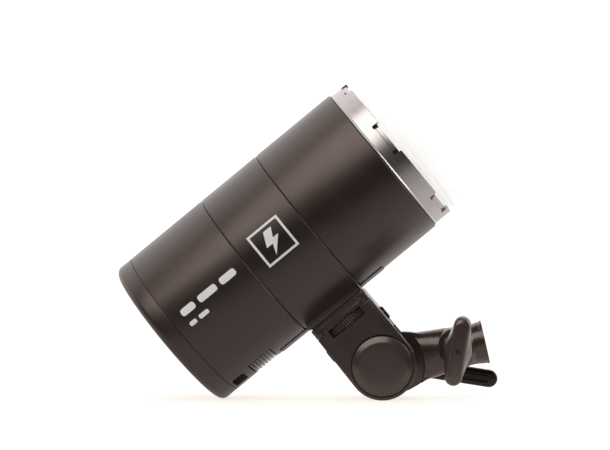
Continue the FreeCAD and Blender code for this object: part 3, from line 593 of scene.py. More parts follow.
def print_white():
    """Screen-printed ink: flat white with thin spots and a faint edge."""
    s = Surface("print_white", (0.92, 0.91, 0.89), 0.5)
    spots = s.noise(0.6, 3.0, 0.6)
    s.tint(s.ramp(spots, 0.0, 1.0, 0.25, 0.5), (0.80, 0.79, 0.77), (0.95, 0.94, 0.92))
    s.rough(s.ramp(spots, 0.42, 0.6))
    s.bump(spots, 0.006)
    return s.material


OTHERS = (dome_frost, clear_quartz, board_green, display_black, pipe_clear, print_white)
SPECIAL = {make.__name__: make for make in OTHERS}
MATERIALS = {}


def material(name):
    """One material per name, made when it is first wanted."""
    if name not in MATERIALS:
        if name in MOULDED:
            MATERIALS[name] = moulded(name, *MOULDED[name])
        elif name in TURNED:
            MATERIALS[name] = turned_metal(name, *TURNED[name])
        else:
            MATERIALS[name] = SPECIAL[name]()
    return MATERIALS[name]


# Casing


def shell(points):
    return lathe(softened(points, steps=6))


def sleeve(rear_seam, front_seam, inner_r):
    """A length of casing between two seams, with a chamfer at its front edge."""
    rear, front = rear_seam + SEAM_GAP, front_seam - SEAM_GAP
    points = [(rear, inner_r), (rear, BODY_R, SEAM_ROUND)]
    points += [(front - SEAM_CHAMFER, BODY_R), (front, BODY_R - SEAM_CHAMFER), (front, inner_r)]
    return shell(points)


def rounded_slot(low, high, radius):
    return softened(rectangle(low, high), radius, 6)


def slot_about(middle, half_x, half_y, radius):
    """A rounded slot round a point, seen from below."""
    low = middle.x - half_x, middle.y - half_y
    high = middle.x + half_x, middle.y + half_y
    return rounded_slot(low, high, radius)


def foot_outline(inset=0.0, radius=FOOT_CORNER_R):
    """The outline that the saddle and the bracket's plate share."""
    half_x, half_y = BLOCK_HALF_X - inset, BLOCK_HALF_Y - inset
    return rounded_slot((-half_x, -half_y), (half_x, half_y), radius)


def rear_cap():
    cup = shell([
        (REAR_X, WELL_R, 1.4), *arc((REAR_X + CORNER_R, BODY_R - CORNER_R), CORNER_R, 180, 90, 8),
        (CAP_SEAM_X - SEAM_GAP, BODY_R, SEAM_ROUND), (CAP_SEAM_X - SEAM_GAP, INNER_R),
        (PANEL_X + PANEL_WALL, INNER_R), (PANEL_X + PANEL_WALL, 0),
        (PANEL_X, 0), (PANEL_X, WELL_R, 0.8),
    ])
    window_low, window_high = reach("display_window")
    gap = Vector((0.1, 0.1))
    seat = rounded_slot(window_low.yz - gap, window_high.yz + gap, 3.4)
    seat = prism(seat, PANEL_X - 1, PANEL_X + 1.2, "x")
    dial_hole_r, button_hole_r = 3.4, 4.5
    cutters = [seat, bar((PANEL_X - 1, 0, DIAL_Z), (PANEL_X + 5, 0, DIAL_Z), dial_hole_r)]
    for use in BUTTONS:
        low, high = reach(use + "_button")
        y, z = (low.y + high.y) / 2, (low.z + high.z) / 2
        cutters.append(bar((PANEL_X - 1, y, z), (PANEL_X + 5, y, z), button_hole_r))
    cup = cut(cup, *cutters)
    return settle(cup, "rear_cap_shell", "casing_black", ["rear_cap"], 30)


def rear_housing():
    tube = sleeve(CAP_SEAM_X, BAND_REAR_X, INNER_R)
    grille_low, grille_high = reach("inlet_grille")
    port_low, port_high = reach("usb_port")
    port = (port_low + port_high) / 2
    boss_floor = port_low.z + 3.2
    boss = prism(slot_about(port, 5.4, 6.8, 2.0), -49.0, boss_floor, "z")
    boss = combined("INTERSECT", boss, [bar((-100, 0, 0), (0, 0, 0), INNER_R + 0.2, BORE_STEPS)])
    tube = fuse(tube, boss)
    pocket = prism(slot_about(port, 4.4, 5.75, 1.9), -60, port_low.z + 1.2, "z")
    hole = prism(slot_about(port, 1.7, 4.55, 1.65), -60, -30, "z")
    gap = Vector((0.25, 0.25))
    vent = prism(rounded_slot(grille_low.xy - gap, grille_high.xy + gap, 1.0), -60, -38, "z")
    low, high = reach("charge_light")
    light = (low + high) / 2
    outwards = Vector((0, light.y, light.z)).normalized()
    light_hole_r = 1.15
    light_hole = bar(light - outwards * 8, light + outwards * 8, light_hole_r, 32)
    tube = cut(tube, vent, pocket, hole, light_hole)
    settle(tube, "rear_housing_shell", "casing_black", ["rear_housing"], 30)
    # painted highlight: the chamfer faces at the band seam get the lighter, glossier sheen material
    extra_finish(tube, "edge_black", on_chamfer(BAND_REAR_X))

    # painted shade: the faces inside the port's pocket get the near-black shade material
    def in_pocket(spot):
        under_skin = hypot(spot.y, spot.z) < BODY_R - 0.35 and spot.z < -43
        return under_skin and abs(spot.x - port.x) < 4.6 and abs(spot.y - port.y) < 6.0

    return extra_finish(tube, "groove_black", in_pocket)


def middle_band():
    band = sleeve(BAND_REAR_X, BAND_FRONT_X, BAND_INNER_R)
    saddle_z = reach("middle_band")[0].z
    saddle = eased(prism(foot_outline(), saddle_z + 0.1, -40, "z"), 0.15, segments=2)
    band = fuse(band, saddle)
    bore = bar((-60, 0, 0), (60, 0, 0), BAND_INNER_R, BORE_STEPS)
    band = cut(band, bore, bar((0, 0, -60), (0, 0, -30), SADDLE_BORE_R))
    settle(band, "middle_band_shell", "casing_black", ["middle_band"], 30)
    # painted highlight: the chamfer faces at the front seam get the lighter, glossier sheen material
    return extra_finish(band, "edge_black", on_chamfer(BAND_FRONT_X))


def seam_gaskets():
    """Painted shade: near-black rings at the bottom of each seam and below the ring's rim, which make the seams
    read as dark lines.
    """
    rings = []
    for x in (CAP_SEAM_X, BAND_REAR_X, BAND_FRONT_X):
        rings.append(lathe(rectangle((x - 0.5, INNER_R - 0.5), (x + 0.5, BODY_R - 0.75))))
    x = HOUSING_FRONT_X
    rings.append(lathe(rectangle((x - 0.2, RING_RIM_R - 1.3), (x + 0.5, RING_RIM_R - 0.8))))
    return settle(grouped(*rings), "seam_gaskets", "groove_black", [])


def front_housing():
    tube = shell([
        (BAND_FRONT_X + SEAM_GAP, INNER_R), (BAND_FRONT_X + SEAM_GAP, BODY_R, SEAM_ROUND),
        (HOUSING_FRONT_X, BODY_R, 0.7), (HOUSING_FRONT_X, FLANGE_R),
        (HOUSING_FRONT_X - 4, FLANGE_R), (HOUSING_FRONT_X - 4, INNER_R),
    ])
    return settle(tube, "front_housing_shell", "casing_black", ["front_housing"], 30)


def mount_ring():
    foot, front = HOUSING_FRONT_X, RING_FRONT_X
    inner_r, step_r, outside_r = RING_R - 2.2, RING_R - 1.1, RING_R + 2
    ring = shell([
        (foot + 0.05, FLANGE_R), (foot + 0.05, RING_RIM_R - 1.0),
        (foot + 0.4, RING_RIM_R - 1.0), (foot + 0.4, RING_RIM_R, 0.12),
        (foot + 0.8, RING_RIM_R, 0.2), (foot + 1.5, RING_R, 0.3),
        (front, RING_R, 0.45), (front, inner_r, 0.3),
        (foot + 3.4, inner_r), (foot + 3.4, FLANGE_R),
    ])
    cutters = []
    for middle in NOTCH_MIDDLES:
        start = middle - NOTCH_SPAN / 2
        last = middle + NOTCH_SPAN / 2 - NOTCH_SLOT
        step = [(front - 3.7, step_r), (front + 1, step_r), (front + 1, outside_r)]
        step += [(front - 4.4, outside_r), (front - 4.1, RING_R)]
        cutters.append(lathe(step, start, NOTCH_SPAN))
        mouth = rectangle((front - 1.5, inner_r - 0.5), (front + 1, outside_r))
        cutters.append(lathe(mouth, start + NOTCH_SLOT / 2, NOTCH_SPAN - NOTCH_SLOT, SHORT_ARC_STEPS))
        slot = rectangle((front - 4.9, inner_r - 0.5), (front + 1, outside_r))
        cutters += [lathe(slot, begin, NOTCH_SLOT, SLOT_STEPS) for begin in (start, last)]
    ring = eased(cut(ring, *cutters), 0.18, 30, 2)
    # painted shade: the slots of the shaded notches get near-black floors; the others get floors of the ring's
    # aluminium
    shade_floors, plugs = [], []
    for middle in NOTCH_MIDDLES:
        start = middle - NOTCH_SPAN / 2
        parts = shade_floors if middle in SHADED_NOTCHES else plugs
        for begin in (start, start + NOTCH_SPAN - NOTCH_SLOT):
            patch = rectangle((front - 5.2, inner_r - 0.25), (front - 1.6, inner_r - 0.03))
            parts.append(lathe(patch, begin - 0.2, NOTCH_SLOT + 0.4, SLOT_STEPS))
    settle(grouped(*shade_floors), "notch_floors", "groove_black", [])
    settle(grouped(*plugs), "notch_plugs", "ring_aluminium", [])
    return settle(ring, "accessory_ring", "ring_aluminium", ["mount_ring"], 30)


def dome():
    wall = 2.5
    neck_r = RING_R - 2.5
    foot_x, shoulder_x = HOUSING_FRONT_X + 4.9, RING_FRONT_X + 2.2
    centre_x = DOME_APEX_X - DOME_R
    profile = [(foot_x, neck_r - wall), (foot_x, neck_r), (shoulder_x - 0.3, neck_r)]
    profile += [(shoulder_x + 0.5, neck_r + 0.5), (shoulder_x + 1.3, DOME_R - 0.25)]
    profile += [(shoulder_x + 2.3, DOME_R)]
    profile += arc((centre_x, 0), DOME_R, 90, 0, 40)
    profile += arc((centre_x, 0), DOME_R - wall, 0, 90, 40)
    profile += [(shoulder_x + 2.6, DOME_R - wall), (shoulder_x + 1.2, neck_r - wall)]
    return settle(lathe(profile), "frosted_dome", "dome_frost", ["dome"], 60)


def inlet_grille():
    low, high = reach("inlet_grille")
    side = degrees(asin(high.y / BODY_R))
    slats = 7
    pitch = (high.x - low.x) / slats
    parts = [lathe(rectangle((low.x, BODY_R - 4.4), (high.x, BODY_R - 3.2)), 90 - side, 2 * side, 360)]
    for i in range(slats):
        start = low.x + pitch * i + 0.55
        crest = arc((start + 0.7, BODY_R - 0.75), 0.7, 180, 0, 10)
        rib = [(start, BODY_R - 3.6)] + crest + [(start + 1.4, BODY_R - 3.6)]
        parts.append(lathe(rib, 90 - side + 0.6, 2 * side - 1.2, SHORT_ARC_STEPS))
    # painted highlight: the slats get the lighter, glossier sheen material
    return settle(grouped(*parts), "inlet_slats", "edge_black", ["inlet_grille"])


def underside_pads():
    """The rubber strips follow the casing, each on a near-black bed a little larger than the strip, which paints
    the shade along the strip's edges.
    """
    low, high = reach("underside_pads")
    top_r, root_r = -low.z, 49.6
    strips, shade_beds = [], []
    for x0, x1 in ((low.x, -BLOCK_HALF_X - 0.4), (BLOCK_HALF_X + 0.4, high.x)):
        for parts, margin, radius, edge in ((strips, 0.0, top_r, 0.5), (shade_beds, 0.5, BODY_R + 0.06, 0.0)):
            side = degrees((high.y + margin) / BODY_R)
            front, rear = x1 + margin * (x0 > 0), x0 - margin * (x0 < 0)
            ends = softened([(rear, root_r), (rear, radius, edge), (front, radius, edge), (front, root_r)])
            parts.append(lathe(ends, 90 - side, 2 * side, SHORT_ARC_STEPS))
    settle(grouped(*shade_beds), "strip_beds", "groove_black", [])
    strips = eased(grouped(*strips), 0.25, 50, 2)
    return settle(strips, "underside_strips", "rubber_black", ["underside_pads"])


def saddle_shim():
    """Painted shade: near-black packing in the split between the casing's saddle and the bracket's plate, and in
    the arch gap round the block's hump, so both read as dark lines.
    """
    top, bottom = reach("middle_band")[0].z + 0.3, reach("mount_plate")[1].z - 0.9
    bore = bar((0, 0, -70), (0, 0, -40), SADDLE_BORE_R + 0.1)
    shim = cut(prism(foot_outline(1.3, 1.8), bottom, top, "z"), bore)
    outside = rounded_slot((-15.3, PLATE_BOTTOM_Z + 0.5), (15.3, HUMP_TOP_Z + 0.6), 2.6)
    inside = rounded_slot((-14.2, PLATE_BOTTOM_Z - 5), (14.2, HUMP_TOP_Z - 0.5), 2.2)
    arch = prism(outside, 1.4 - BLOCK_HALF_Y, BLOCK_HALF_Y - 1.4, "y")
    arch = cut(arch, prism(inside, -30, 30, "y"))
    return settle(grouped(shim, arch), "saddle_shim", "groove_black", [])


# Printed marks


def wrapped(outline, thickness=0.07, step=0.7):
    """A flat outline in (along, round) millimetres laid on the casing at the near side, as thin ink."""
    mesh = bpy.data.meshes.new("ink")
    mesh.from_pydata([(p[0], p[1], 0) for p in outline], [], [tuple(range(len(outline)))])
    work = bmesh.new()
    work.from_mesh(mesh)
    low, high = min(p[1] for p in outline), max(p[1] for p in outline)
    for i in range(1, int((high - low) / step) + 1):
        everything = work.verts[:] + work.edges[:] + work.faces[:]
        bmesh.ops.bisect_plane(work, geom=everything, plane_co=(0, low + i * step, 0), plane_no=(0, 1, 0))
    top = work.faces[:]
    skin = bmesh.ops.extrude_face_region(work, geom=top)
    for vertex in (g for g in skin["geom"] if isinstance(g, bmesh.types.BMVert)):
        vertex.co.z = thickness
    for vertex in work.verts:
        radius = BODY_R - 0.02 + vertex.co.z
        angle = vertex.co.y / BODY_R
        vertex.co = (vertex.co.x, -radius * cos(angle), radius * sin(angle))
    bmesh.ops.recalc_face_normals(work, faces=work.faces)
    work.to_mesh(mesh)
    work.free()
    return linked("ink", mesh)


def printed_mark():
    """A plain square badge with a flash bolt in it: four strokes of a frame, and the bolt."""
    centre_x, centre_s = -1.5, 2.8
    half, inner = 11.25, 11.25 - 1.45
    outlines = [
        rectangle((-half, inner), (half, half)),
        rectangle((-half, -half), (half, -inner)),
        rectangle((-half, -inner), (-inner, inner)),
        rectangle((inner, -inner), (half, inner)),
        [(-1.2, 7.6), (4.6, 7.6), (1.6, 1.6), (5.6, 1.6), (-3.4, -8.0), (-0.8, -1.2), (-5.2, -1.2)],
    ]
    parts = [wrapped([(x + centre_x, s + centre_s) for x, s in outline]) for outline in outlines]
    return settle(grouped(*parts), "printed_badge", "print_white", [])


def printed_dashes():
    """Two rows of round-ended dashes in place of any wording."""
    parts = []
    for spans, middle, height in (
        (((-70.5, -60.5), (-57.5, -44.0), (-41.0, -29.5)), 3.6, 4.6),
        (((-70.5, -65.5), (-63.5, -56.5)), -4.6, 2.8),
    ):
        for start, end in spans:
            corners = (start, middle - height / 2), (end, middle + height / 2)
            parts.append(wrapped(rounded_slot(*corners, height * 0.42)))
    return settle(grouped(*parts), "printed_dashes", "print_white", [])


# Bracket


def mount_plate():
    low, high = reach("mount_plate")
    body = prism(foot_outline(), low.z, high.z - 0.7, "z")
    gap = 0.45
    arch = rounded_slot((-HUMP_HALF_X - gap, low.z - 10), (HUMP_HALF_X + gap, HUMP_TOP_Z + gap), 2.6)
    body = eased(cut(body, prism(arch, -30, 30, "y")), 0.15, segments=2)
    body = cut(body, bar((0, 0, -70), (0, 0, -50), MOUNT_SCREW_HOLE_R))
    return settle(body, "bracket_plate", "bracket_black", ["mount_plate"], 30)


def stand_block():
    """The ear block: a flat-faced body with a round hub, rounded all round, and its openings."""
    lean = degrees((HUB_R - BLOCK_HALF_X) / (PLATE_BOTTOM_Z - HUB_Z))
    body = [(-BLOCK_HALF_X, PLATE_BOTTOM_Z)]
    body += arc((0, HUB_Z), HUB_R, 180 - lean, 360 + lean, 64)
    body += [(BLOCK_HALF_X, PLATE_BOTTOM_Z)]
    block = prism(body, -BLOCK_HALF_Y, BLOCK_HALF_Y, "y")
    hump = rounded_slot((-HUMP_HALF_X, PLATE_BOTTOM_Z - 6), (HUMP_HALF_X, HUMP_TOP_Z), 2.4)
    hump = eased(prism(hump, -BLOCK_HALF_Y, BLOCK_HALF_Y, "y"), 0.15, segments=2)
    wheel_low, wheel_high = WHEEL_Z - WINDOW_HALF_Z, WHEEL_Z + WINDOW_HALF_Z
    window = prism(rounded_slot((-WINDOW_HALF_X, wheel_low), (WINDOW_HALF_X, wheel_high), 0.5), -30, 30, "y")
    gap = prism(rectangle((-40, HUB_Z - 40), (40, HUB_Z + 19.1)), -SLOT_HALF_Y, SLOT_HALF_Y, "y")
    outer_y, seat_y, seat_r = -BLOCK_HALF_Y - 1, -BLOCK_HALF_Y + 3.0, CAP_R + 0.75
    seat = turned_y([(outer_y, 0), (outer_y, seat_r), (seat_y, seat_r), (seat_y, 0)], z=HUB_Z)
    block = fuse(eased(cut(block, gap), 0.7, 50), hump)
    block = cut(block, window, seat)
    well_r = 19.0
    block = cut(
        block,
        turned_z([(wheel_low, 0), (wheel_low, well_r), (wheel_high, well_r), (wheel_high, 0)]),
        bar((0, 0, wheel_high - 1), (0, 0, -50), MOUNT_SCREW_HOLE_R),
        bar((-40, 0, UMBRELLA_Z), (40, 0, UMBRELLA_Z), SLEEVE_R),
    )
    return settle(block, "ear_block", "bracket_black", ["stand_block"], 30)


def ridged_wheel(radius, thickness, ridges, depth, edge):
    """A wheel about Z with rounded ridges on its rim and rounded edges."""
    per_ridge = 6
    steps = ridges * per_ridge
    levels = [(0, radius - edge - 1.5), (0, radius - edge), (edge * 0.3, radius - edge * 0.3), (edge, radius)]
    levels += [(thickness - z, r) for z, r in reversed(levels)]
    loops = []
    for i in range(steps):
        angle = tau * i / steps
        wave = 0.5 - 0.5 * cos(tau * i / per_ridge)
        groove = depth * wave**1.6
        ring = []
        for z, r in levels:
            cutting = groove if r > radius - edge - 1 else 0.0
            ring.append(((r - cutting) * cos(angle), (r - cutting) * sin(angle), z))
        loops.append([(0, 0, 0)] + ring + [(0, 0, thickness)])
    return loops_to_solid(loops, True)


def thumbwheel():
    low, high = reach("thumbwheel")
    wheel = ridged_wheel(high.x, high.z - low.z, 76, 0.8, 0.5)
    moved(wheel, Matrix.Translation((0, 0, low.z)))
    body = "mount_wheel"
    return settle(wheel, "knurled_wheel", "grip_black", ["thumbwheel"], 50, body=body)


def umbrella_tube():
    low, high = reach("umbrella_tube")
    face, lip = BLOCK_HALF_X, BLOCK_HALF_X + 0.8
    rear_rim = [(-lip, SLEEVE_R), (-lip, SLEEVE_RIM_R, 0.2), (-face, SLEEVE_RIM_R), (-face, SLEEVE_R)]
    front_rim = [(face, SLEEVE_R), (face, SLEEVE_RIM_R), (lip, SLEEVE_RIM_R, 0.2), (lip, SLEEVE_R)]
    start = [(low.x, SLEEVE_BORE_R, 0.3), (low.x, SLEEVE_R, 0.3)]
    end = [(high.x, SLEEVE_R, 0.3), (high.x, SLEEVE_BORE_R, 0.3)]
    profile = softened(start + rear_rim + front_rim + end, steps=3)
    tube = moved(lathe(profile, steps=96), Matrix.Translation((0, 0, UMBRELLA_Z)))
    return settle(tube, "umbrella_sleeve", "black_steel", ["umbrella_tube"])


def hinge_cap():
    low, high = reach("hinge_cap")
    face, back, rim = low.y, high.y, high.x
    crown = [(face + 1.75, rim, 0.9), (face + 0.1, rim - 3.7, 5.5), (face, rim - 8.0), (face + 0.2, 0)]
    profile = softened([(back, 0), (back, rim)] + crown, steps=10)
    return settle(turned_y(profile, z=HUB_Z), "hinge_cover", "grip_black", ["hinge_cap"], 40)


def hinge_nut():
    low, high = reach("hinge_nut")
    recess = [(high.y, 4.2, 0.3), (high.y - 0.8, 3.8), (high.y - 0.8, 0)]
    profile = softened([(low.y, 0), (low.y, high.x, 0.3), (high.y, high.x, 1.0)] + recess)
    return settle(turned_y(profile, z=HUB_Z), "hinge_end_cap", "black_steel", ["hinge_nut"])


# Arm


def blend_values(table, x):
    """A smooth value through (place, value) pairs."""
    x = max(table[0][0], min(table[-1][0], x))
    slopes = []
    for i in range(len(table)):
        before, after = table[max(i - 1, 0)], table[min(i + 1, len(table) - 1)]
        slopes.append((after[1] - before[1]) / (after[0] - before[0]))
    for (x0, v0), (x1, v1), m0, m1 in zip(table, table[1:], slopes, slopes[1:]):
        if x <= x1:
            span = x1 - x0
            t = (x - x0) / span
            rise = v0 * (2 * t**3 - 3 * t**2 + 1) + v1 * (3 * t**2 - 2 * t**3)
            return rise + span * (m0 * (t**3 - 2 * t**2 + t) + m1 * (t**3 - t**2))
    return table[-1][1]


def neck_ring(x, steps):
    """A cross-section of the neck, which goes from a rounded slab at the hinge to the round socket."""
    height, depth = blend_values(NECK_HEIGHT, x), blend_values(NECK_DEPTH, x)
    power = 2.0 / blend_values(NECK_SQUARENESS, x)
    ring = []
    for i in range(steps):
        angle = tau * i / steps
        c, s = cos(angle), sin(angle)
        ring.append((depth * copysign(abs(c) ** power, c), height * copysign(abs(s) ** power, s)))
    return ring


def stand_arm():
    loops = []
    sections, steps = 30, 96
    for i in range(sections + 1):
        x = NECK_START_X + (SOCKET_END_X - NECK_START_X) * i / sections
        loops.append([(x, y, z) for y, z in neck_ring(x, steps)])
    neck = loops_to_solid(loops, False)
    hub_space = [(-40, 0), (-40, NECK_START_R), (40, NECK_START_R), (40, 0)]
    neck = cut(neck, turned_y(hub_space, steps=BORE_STEPS))
    horn = [(0, 0), (-20.0, 0), (-20.0, BOSS_R, 0.9), (-18.4, BOSS_R), (-16.4, 8.65), (-14.8, 8.8)]
    horn += [(-13.6, 9.2), (-12.6, 9.9), (-11.7, 10.8), (-10.6, 12.0), (-7.0, 13.2), (0, 14.0)]
    boss = turned_y(softened(horn), x=CLAMP_X, steps=160)
    side = [(x, blend_values(NECK_HEIGHT, x) * 0.97) for x in range(25, 59, 3)]
    envelope = side + [(x, -z) for x, z in reversed(side)]
    boss = combined("INTERSECT", boss, [prism(envelope, -30, 1, "y")])
    shape = [(12, 18.3, 6.0), (22, 15.3, 6.0), (30, 12.0)]
    shape += [(30, -12.0), (22, -15.3, 6.0), (12, -18.3, 6.0), (0, -TONGUE_R)]
    tongue = softened(shape) + arc((0, 0), TONGUE_R, 270, 90, 48)
    tongue = prism(tongue, -TONGUE_HALF_Y, TONGUE_HALF_Y, "y")
    inner, outer = NECK_START_R - 0.8, NECK_START_R + 0.1
    groove = turned_y([(-9.0, inner), (-9.0, outer), (-5.2, outer), (-5.2, inner)], steps=BORE_STEPS)
    arm = fuse(cut(tongue, groove), neck, boss)
    arm = eased(arm, 0.4, 55)
    lip = SOCKET_END_X - 2.3
    arm = cut(arm, lathe(rectangle((lip, 12.4), (lip + 0.55, 16.0)), steps=128))
    arm = cut(
        arm,
        bar((31.0, 0, 0), (SOCKET_END_X + 1, 0, 0), BUSH_R, 96),
        bar((CLAMP_X, 0, 0), (CLAMP_X, -13.0, 0), PAD_HOLE_R),
        bar((CLAMP_X, -12, 0), (CLAMP_X, -40, 0), CLAMP_SCREW_HOLE_R),
        bar((0, -40, 0), (0, 40, 0), HINGE_BOLT_HOLE_R),
    )
    return settle(arm, "stand_arm_body", "arm_black", ["stand_arm"], 35, ARM, "arm")


def wing_loop(y, half_length, half_width, flare):
    """A long round-ended loop at one depth of the wing, swollen in the middle by the flare."""
    straight = half_length - half_width
    side = [straight * (1 - 2 * i / 16) for i in range(17)]
    edge = [(half_width + flare * (1 - abs(z) / straight) ** 0.9, z) for z in side]
    low = arc((0, -straight), half_width, 0, -180, 12)[1:-1]
    high = arc((0, straight), half_width, 180, 0, 12)[1:-1]
    loop = edge + low + [(-x, z) for x, z in reversed(edge)] + high
    return [(x, y, z) for x, z in loop]


def clamp_handle():
    """A long wing with a flat round-ended face, whose sides swell to a wide hub round the screw."""
    low, high = reach("clamp_handle", ARM)
    face_y, base_y = low.y, high.y
    half_length, half_width = 20.2, 5.0
    # depth below the face, what the length and the width gain there, and the swelling in the middle
    layers = (
        (0.0, -4.4, -2.2, 0.0), (0.1, -3.4, -1.5, 0.0),
        (0.45, -2.1, -0.8, 0.0), (1.05, -0.9, -0.3, 0.0),
        (1.8, -0.2, 0.0, 0.1), (3.4, 0.4, 0.1, 0.8),
        (6.0, 0.7, 0.2, 2.0), (8.4, 0.9, 0.2, 3.2),
        (9.3, 0.6, -0.2, 3.4), (9.8, -0.3, -1.1, 3.1),
    )
    loops = []
    for depth, end, side, flare in layers:
        loops.append(wing_loop(face_y + depth, half_length + end, half_width + side, flare))
    wing = loops_to_solid(loops, False)
    horn = [(base_y, 0), (base_y, BOSS_R, 0.7), (base_y - 2.4, BOSS_R, 1.2), (base_y - 5.0, 7.4)]
    horn += [(face_y + 9.0, 6.9), (face_y + 9.0, 0)]
    wing = fuse(wing, turned_y(softened(horn)))
    wing = cut(wing, bar((0, face_y - 1, 0), (0, face_y + PIN_HOLE_DEPTH, 0), PIN_HOLE_R, 32))
    lean = HANDLE_LEAN - ARM_RISE
    moved(wing, Matrix.Translation((CLAMP_X, 0, 0)) @ Matrix.Rotation(radians(90 - lean), 4, "Y"))
    return settle(wing, "winged_handle", "grip_black", ["clamp_handle"], 40, ARM, "handle")


def handle_pin():
    """The pin in the middle of the handle, a little below the face, with a dimple."""
    low, high = reach("handle_pin", ARM)
    radius = (high.z - low.z) / 2
    face = low.y + 0.55
    profile = [(face + 0.2, 0), (face, radius * 0.6), (face, radius), (high.y, radius), (high.y, 0)]
    pin = turned_y(profile, x=(low.x + high.x) / 2, steps=48)
    # painted shade: the pin end is near-black so the hole round it reads as a dark dot
    return settle(pin, "handle_pin_end", "groove_black", ["handle_pin"], 35, ARM, "handle")


def tilt_lever():
    tip, half = reach("tilt_lever", LEVER)[1].x, 5.4
    y0, y1 = 21.5, 29.0
    blade = [(4.0, -6.0), (16.0, -half, 8.0), (tip - half, -half)]
    blade += arc((tip - half, 0), half, -90, 90, 24)[1:-1]
    blade += [(tip - half, half), (16.0, half, 8.0), (4.0, 6.0)]
    blade = eased(prism(softened(blade), y0, y1, "y"), 1.5, 40, 5)
    grooves, groove_r = [], 0.75
    for z in (-2.0, 2.0):
        for y in (y0, y1):
            grooves.append(bar((21.0, y, z), (tip - half, y, z), groove_r, 24))
    blade = cut(blade, *grooves)
    low, high, bore, radius = 18.9, y1 - 0.4, HINGE_BOLT_HOLE_R, 12.5
    hub = [(low, bore), (low, radius, 0.4), (high, radius, 1.6), (high, bore)]
    lever = fuse(blade, turned_y(softened(hub, steps=6), steps=96))
    return settle(lever, "lock_lever", "lever_black", ["tilt_lever"], 40, LEVER, "lever")


# Rear panel


def dial_knob():
    low, high = reach("dial_knob")
    radius = high.y
    bottom = PANEL_X - 0.3
    height = bottom - low.x
    knob = ridged_wheel(radius, height, 48, 0.55, 0.7)
    hollow = [(height - 0.9, 0), (height + 1, 0), (height + 1, 8.6), (height, 8.6), (height - 0.6, 7.6)]
    dish = turned_z(hollow, steps=96)
    mark = prism(rounded_slot((9.0, -0.5), (11.4, 0.5), 0.3), height - 0.5, height + 1, "z")
    knob = cut(knob, dish, mark)
    moved(knob, Matrix.Translation((bottom, 0, DIAL_Z)) @ Matrix.Rotation(radians(-90), 4, "Y"))
    return settle(knob, "control_dial", "grip_black", ["dial_knob"], 40, body="dial")


def panel_buttons():
    for use in BUTTONS:
        name = use + "_button"
        low, high = reach(name)
        y, z = (low.y + high.y) / 2, (low.z + high.z) / 2
        flange = high.x - 1.1
        top = [(low.x + 0.25, 0), (low.x + 0.1, 2.6, 0.6), (low.x, 3.5, 0.4), (low.x, 4.2, 0.6)]
        profile = softened(top + [(flange, 4.2), (flange, 5.3), (high.x, 5.3), (high.x, 0)])
        button = moved(lathe(profile, steps=72), Matrix.Translation((0, y, z)))
        settle(button, name + "_cap", "rubber_black", [name], 40, body=use + "_key")


# CAD pieces that keep their own shape


CAD_MATERIALS = {
    "rubber_black": ("dome_gasket",),
    "bright_steel": ("usb_port", "mounting_screw", "hinge_bolt", "clamp_screw"),
    "pipe_clear": ("charge_light",),
    "display_black": ("display_window",),
    "inner_black": ("display_module", "dial_encoder", "chassis", "cell_cradle", "fan_frame", "fan_rotor"),
    "board_green": ("control_board", "power_board", "trigger_board", "lamp_board"),
    "black_steel": ("panel_screws", "pinch_screw"),
    "cell_blue": ("battery_cells",),
    "can_grey": ("capacitors",),
    "ring_aluminium": ("heat_sink",),
    "glazed_ceramic": ("tube_socket",),
    "clear_quartz": ("flash_tube",),
    "mirror_aluminium": ("reflector",),
    "turned_brass": ("threaded_insert", "friction_discs", "clamp_pad"),
    "bush_aluminium": ("socket_bush",),
}


def dress_cad_nodes():
    for finish, names in CAD_MATERIALS.items():
        for name in names:
            mesh = frame["nodes"][name].data
            mesh.materials.clear()
            mesh.materials.append(material(finish))
            shade(mesh, 30)


# Stage


def stage():
    """A white table top that ends a little in front of the object."""
    mesh = bpy.data.meshes.new("floor")
    near, far, side = -0.37, 5.0, 4.0
    corners = [(-side, near, 0), (side, near, 0), (side, far, 0), (-side, far, 0)]
    mesh.from_pydata(corners, [], [(0, 1, 2, 3)])
    floor = linked("floor", mesh)
    white = bpy.data.materials.new("floor_white")
    white.use_nodes = True
    shader = white.node_tree.nodes["Principled BSDF"]
    put(shader, Base_Color=(0.30, 0.31, 0.32, 1), Roughness=0.8, Specular_IOR_Level=0.1)
    put(shader, Emission_Color=(1.0, 0.93, 0.88, 1))
    nodes, links = white.node_tree.nodes, white.node_tree.links
    place, split, path = (add_node(nodes, kind) for kind in ("TexCoord", "SeparateXYZ", "LightPath"))
    links.new(place.outputs["Object"], split.inputs["Vector"])
    lit = add_node(nodes, "MapRange", From_Min=-0.27, From_Max=0.05, To_Min=0.0, To_Max=0.55)
    links.new(split.outputs["Y"], lit.inputs["Value"])
    glow = add_node(nodes, "Mix", B=0.82)
    links.new(path.outputs["Is Camera Ray"], glow.inputs["Factor"])
    links.new(lit.outputs["Result"], glow.inputs["A"])
    links.new(glow.outputs["Result"], shader.inputs["Emission Strength"])
    mesh.materials.append(white)


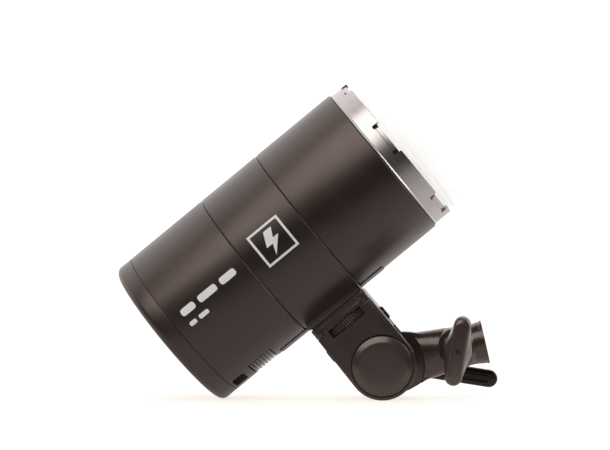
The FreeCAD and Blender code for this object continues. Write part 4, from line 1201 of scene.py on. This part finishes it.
def sky():
    """White all round, except for the dark studio on the near side that the casing reflects."""
    world = bpy.data.worlds.new("studio")
    bpy.context.scene.world = world
    world.use_nodes = True
    nodes, links = world.node_tree.nodes, world.node_tree.links
    background = nodes["Background"]
    place, split, path = (add_node(nodes, kind) for kind in ("TexCoord", "SeparateXYZ", "LightPath"))
    links.new(place.outputs["Generated"], split.inputs["Vector"])
    spread = add_node(nodes, "MapRange", From_Min=-0.6, From_Max=0.25, To_Min=0.02, To_Max=1.3)
    spread.interpolation_type = "SMOOTHSTEP"
    links.new(split.outputs["Y"], spread.inputs["Value"])
    brightest = add_node(nodes, "Math")
    brightest.operation = "MAXIMUM"
    links.new(spread.outputs["Result"], brightest.inputs[0])
    links.new(path.outputs["Is Camera Ray"], brightest.inputs[1])
    links.new(brightest.outputs["Value"], background.inputs["Strength"])
    put(background, Color=(1.0, 0.99, 0.98, 1))


def softbox(name, place, aim, size, power, colour=(1, 0.98, 0.95)):
    light = bpy.data.lights.new(name, "AREA")
    light.shape = "RECTANGLE"
    light.size, light.size_y = size
    light.energy = power
    light.color = colour
    holder = linked(name, light)
    holder.location = place
    holder.rotation_euler = (Vector(aim) - Vector(place)).to_track_quat("-Z", "Y").to_euler()
    holder.visible_camera = False


def lights():
    """A large key light in front and above, and a strong upright one on the right."""
    middle = Vector((0, 0, 0.1))
    for name, direction, size, radiance in (
        ("key_softbox", (-0.30, -0.71, 0.66), (1.15, 0.87), 2.6),
        ("right_softbox", (0.90, -0.06, 0.43), (0.35, 0.9), 5.0),
    ):
        place = middle + 1.2 * Vector(direction).normalized()
        softbox(name, place, middle, size, radiance * pi * size[0] * size[1])


def camera():
    """Level, a little to the right of square on, far enough back to be nearly without perspective."""
    azimuth = radians(3.1)
    distance = 1.41
    height = 0.1056
    left_of_hinge = 0.0475
    target = Vector((hinge.x - left_of_hinge, 0, height))
    data = bpy.data.cameras.new("camera")
    data.lens, data.sensor_width = 136.4, 36.0
    holder = linked("camera", data)
    back = Vector((sin(azimuth), -cos(azimuth), 0))
    holder.location = target + back * distance
    holder.rotation_euler = (-back).to_track_quat("-Z", "Y").to_euler()
    bpy.context.scene.camera = holder


rear_cap()
rear_housing()
middle_band()
seam_gaskets()
front_housing()
mount_ring()
dome()
inlet_grille()
underside_pads()
saddle_shim()
printed_mark()
printed_dashes()
mount_plate()
stand_block()
thumbwheel()
umbrella_tube()
hinge_cap()
hinge_nut()
stand_arm()
clamp_handle()
handle_pin()
tilt_lever()
dial_knob()
panel_buttons()
dress_cad_nodes()
stage()
sky()
lights()
camera()
bpy.context.scene.view_settings.view_transform = "Standard"
bpy.context.scene.view_settings.look = "None"
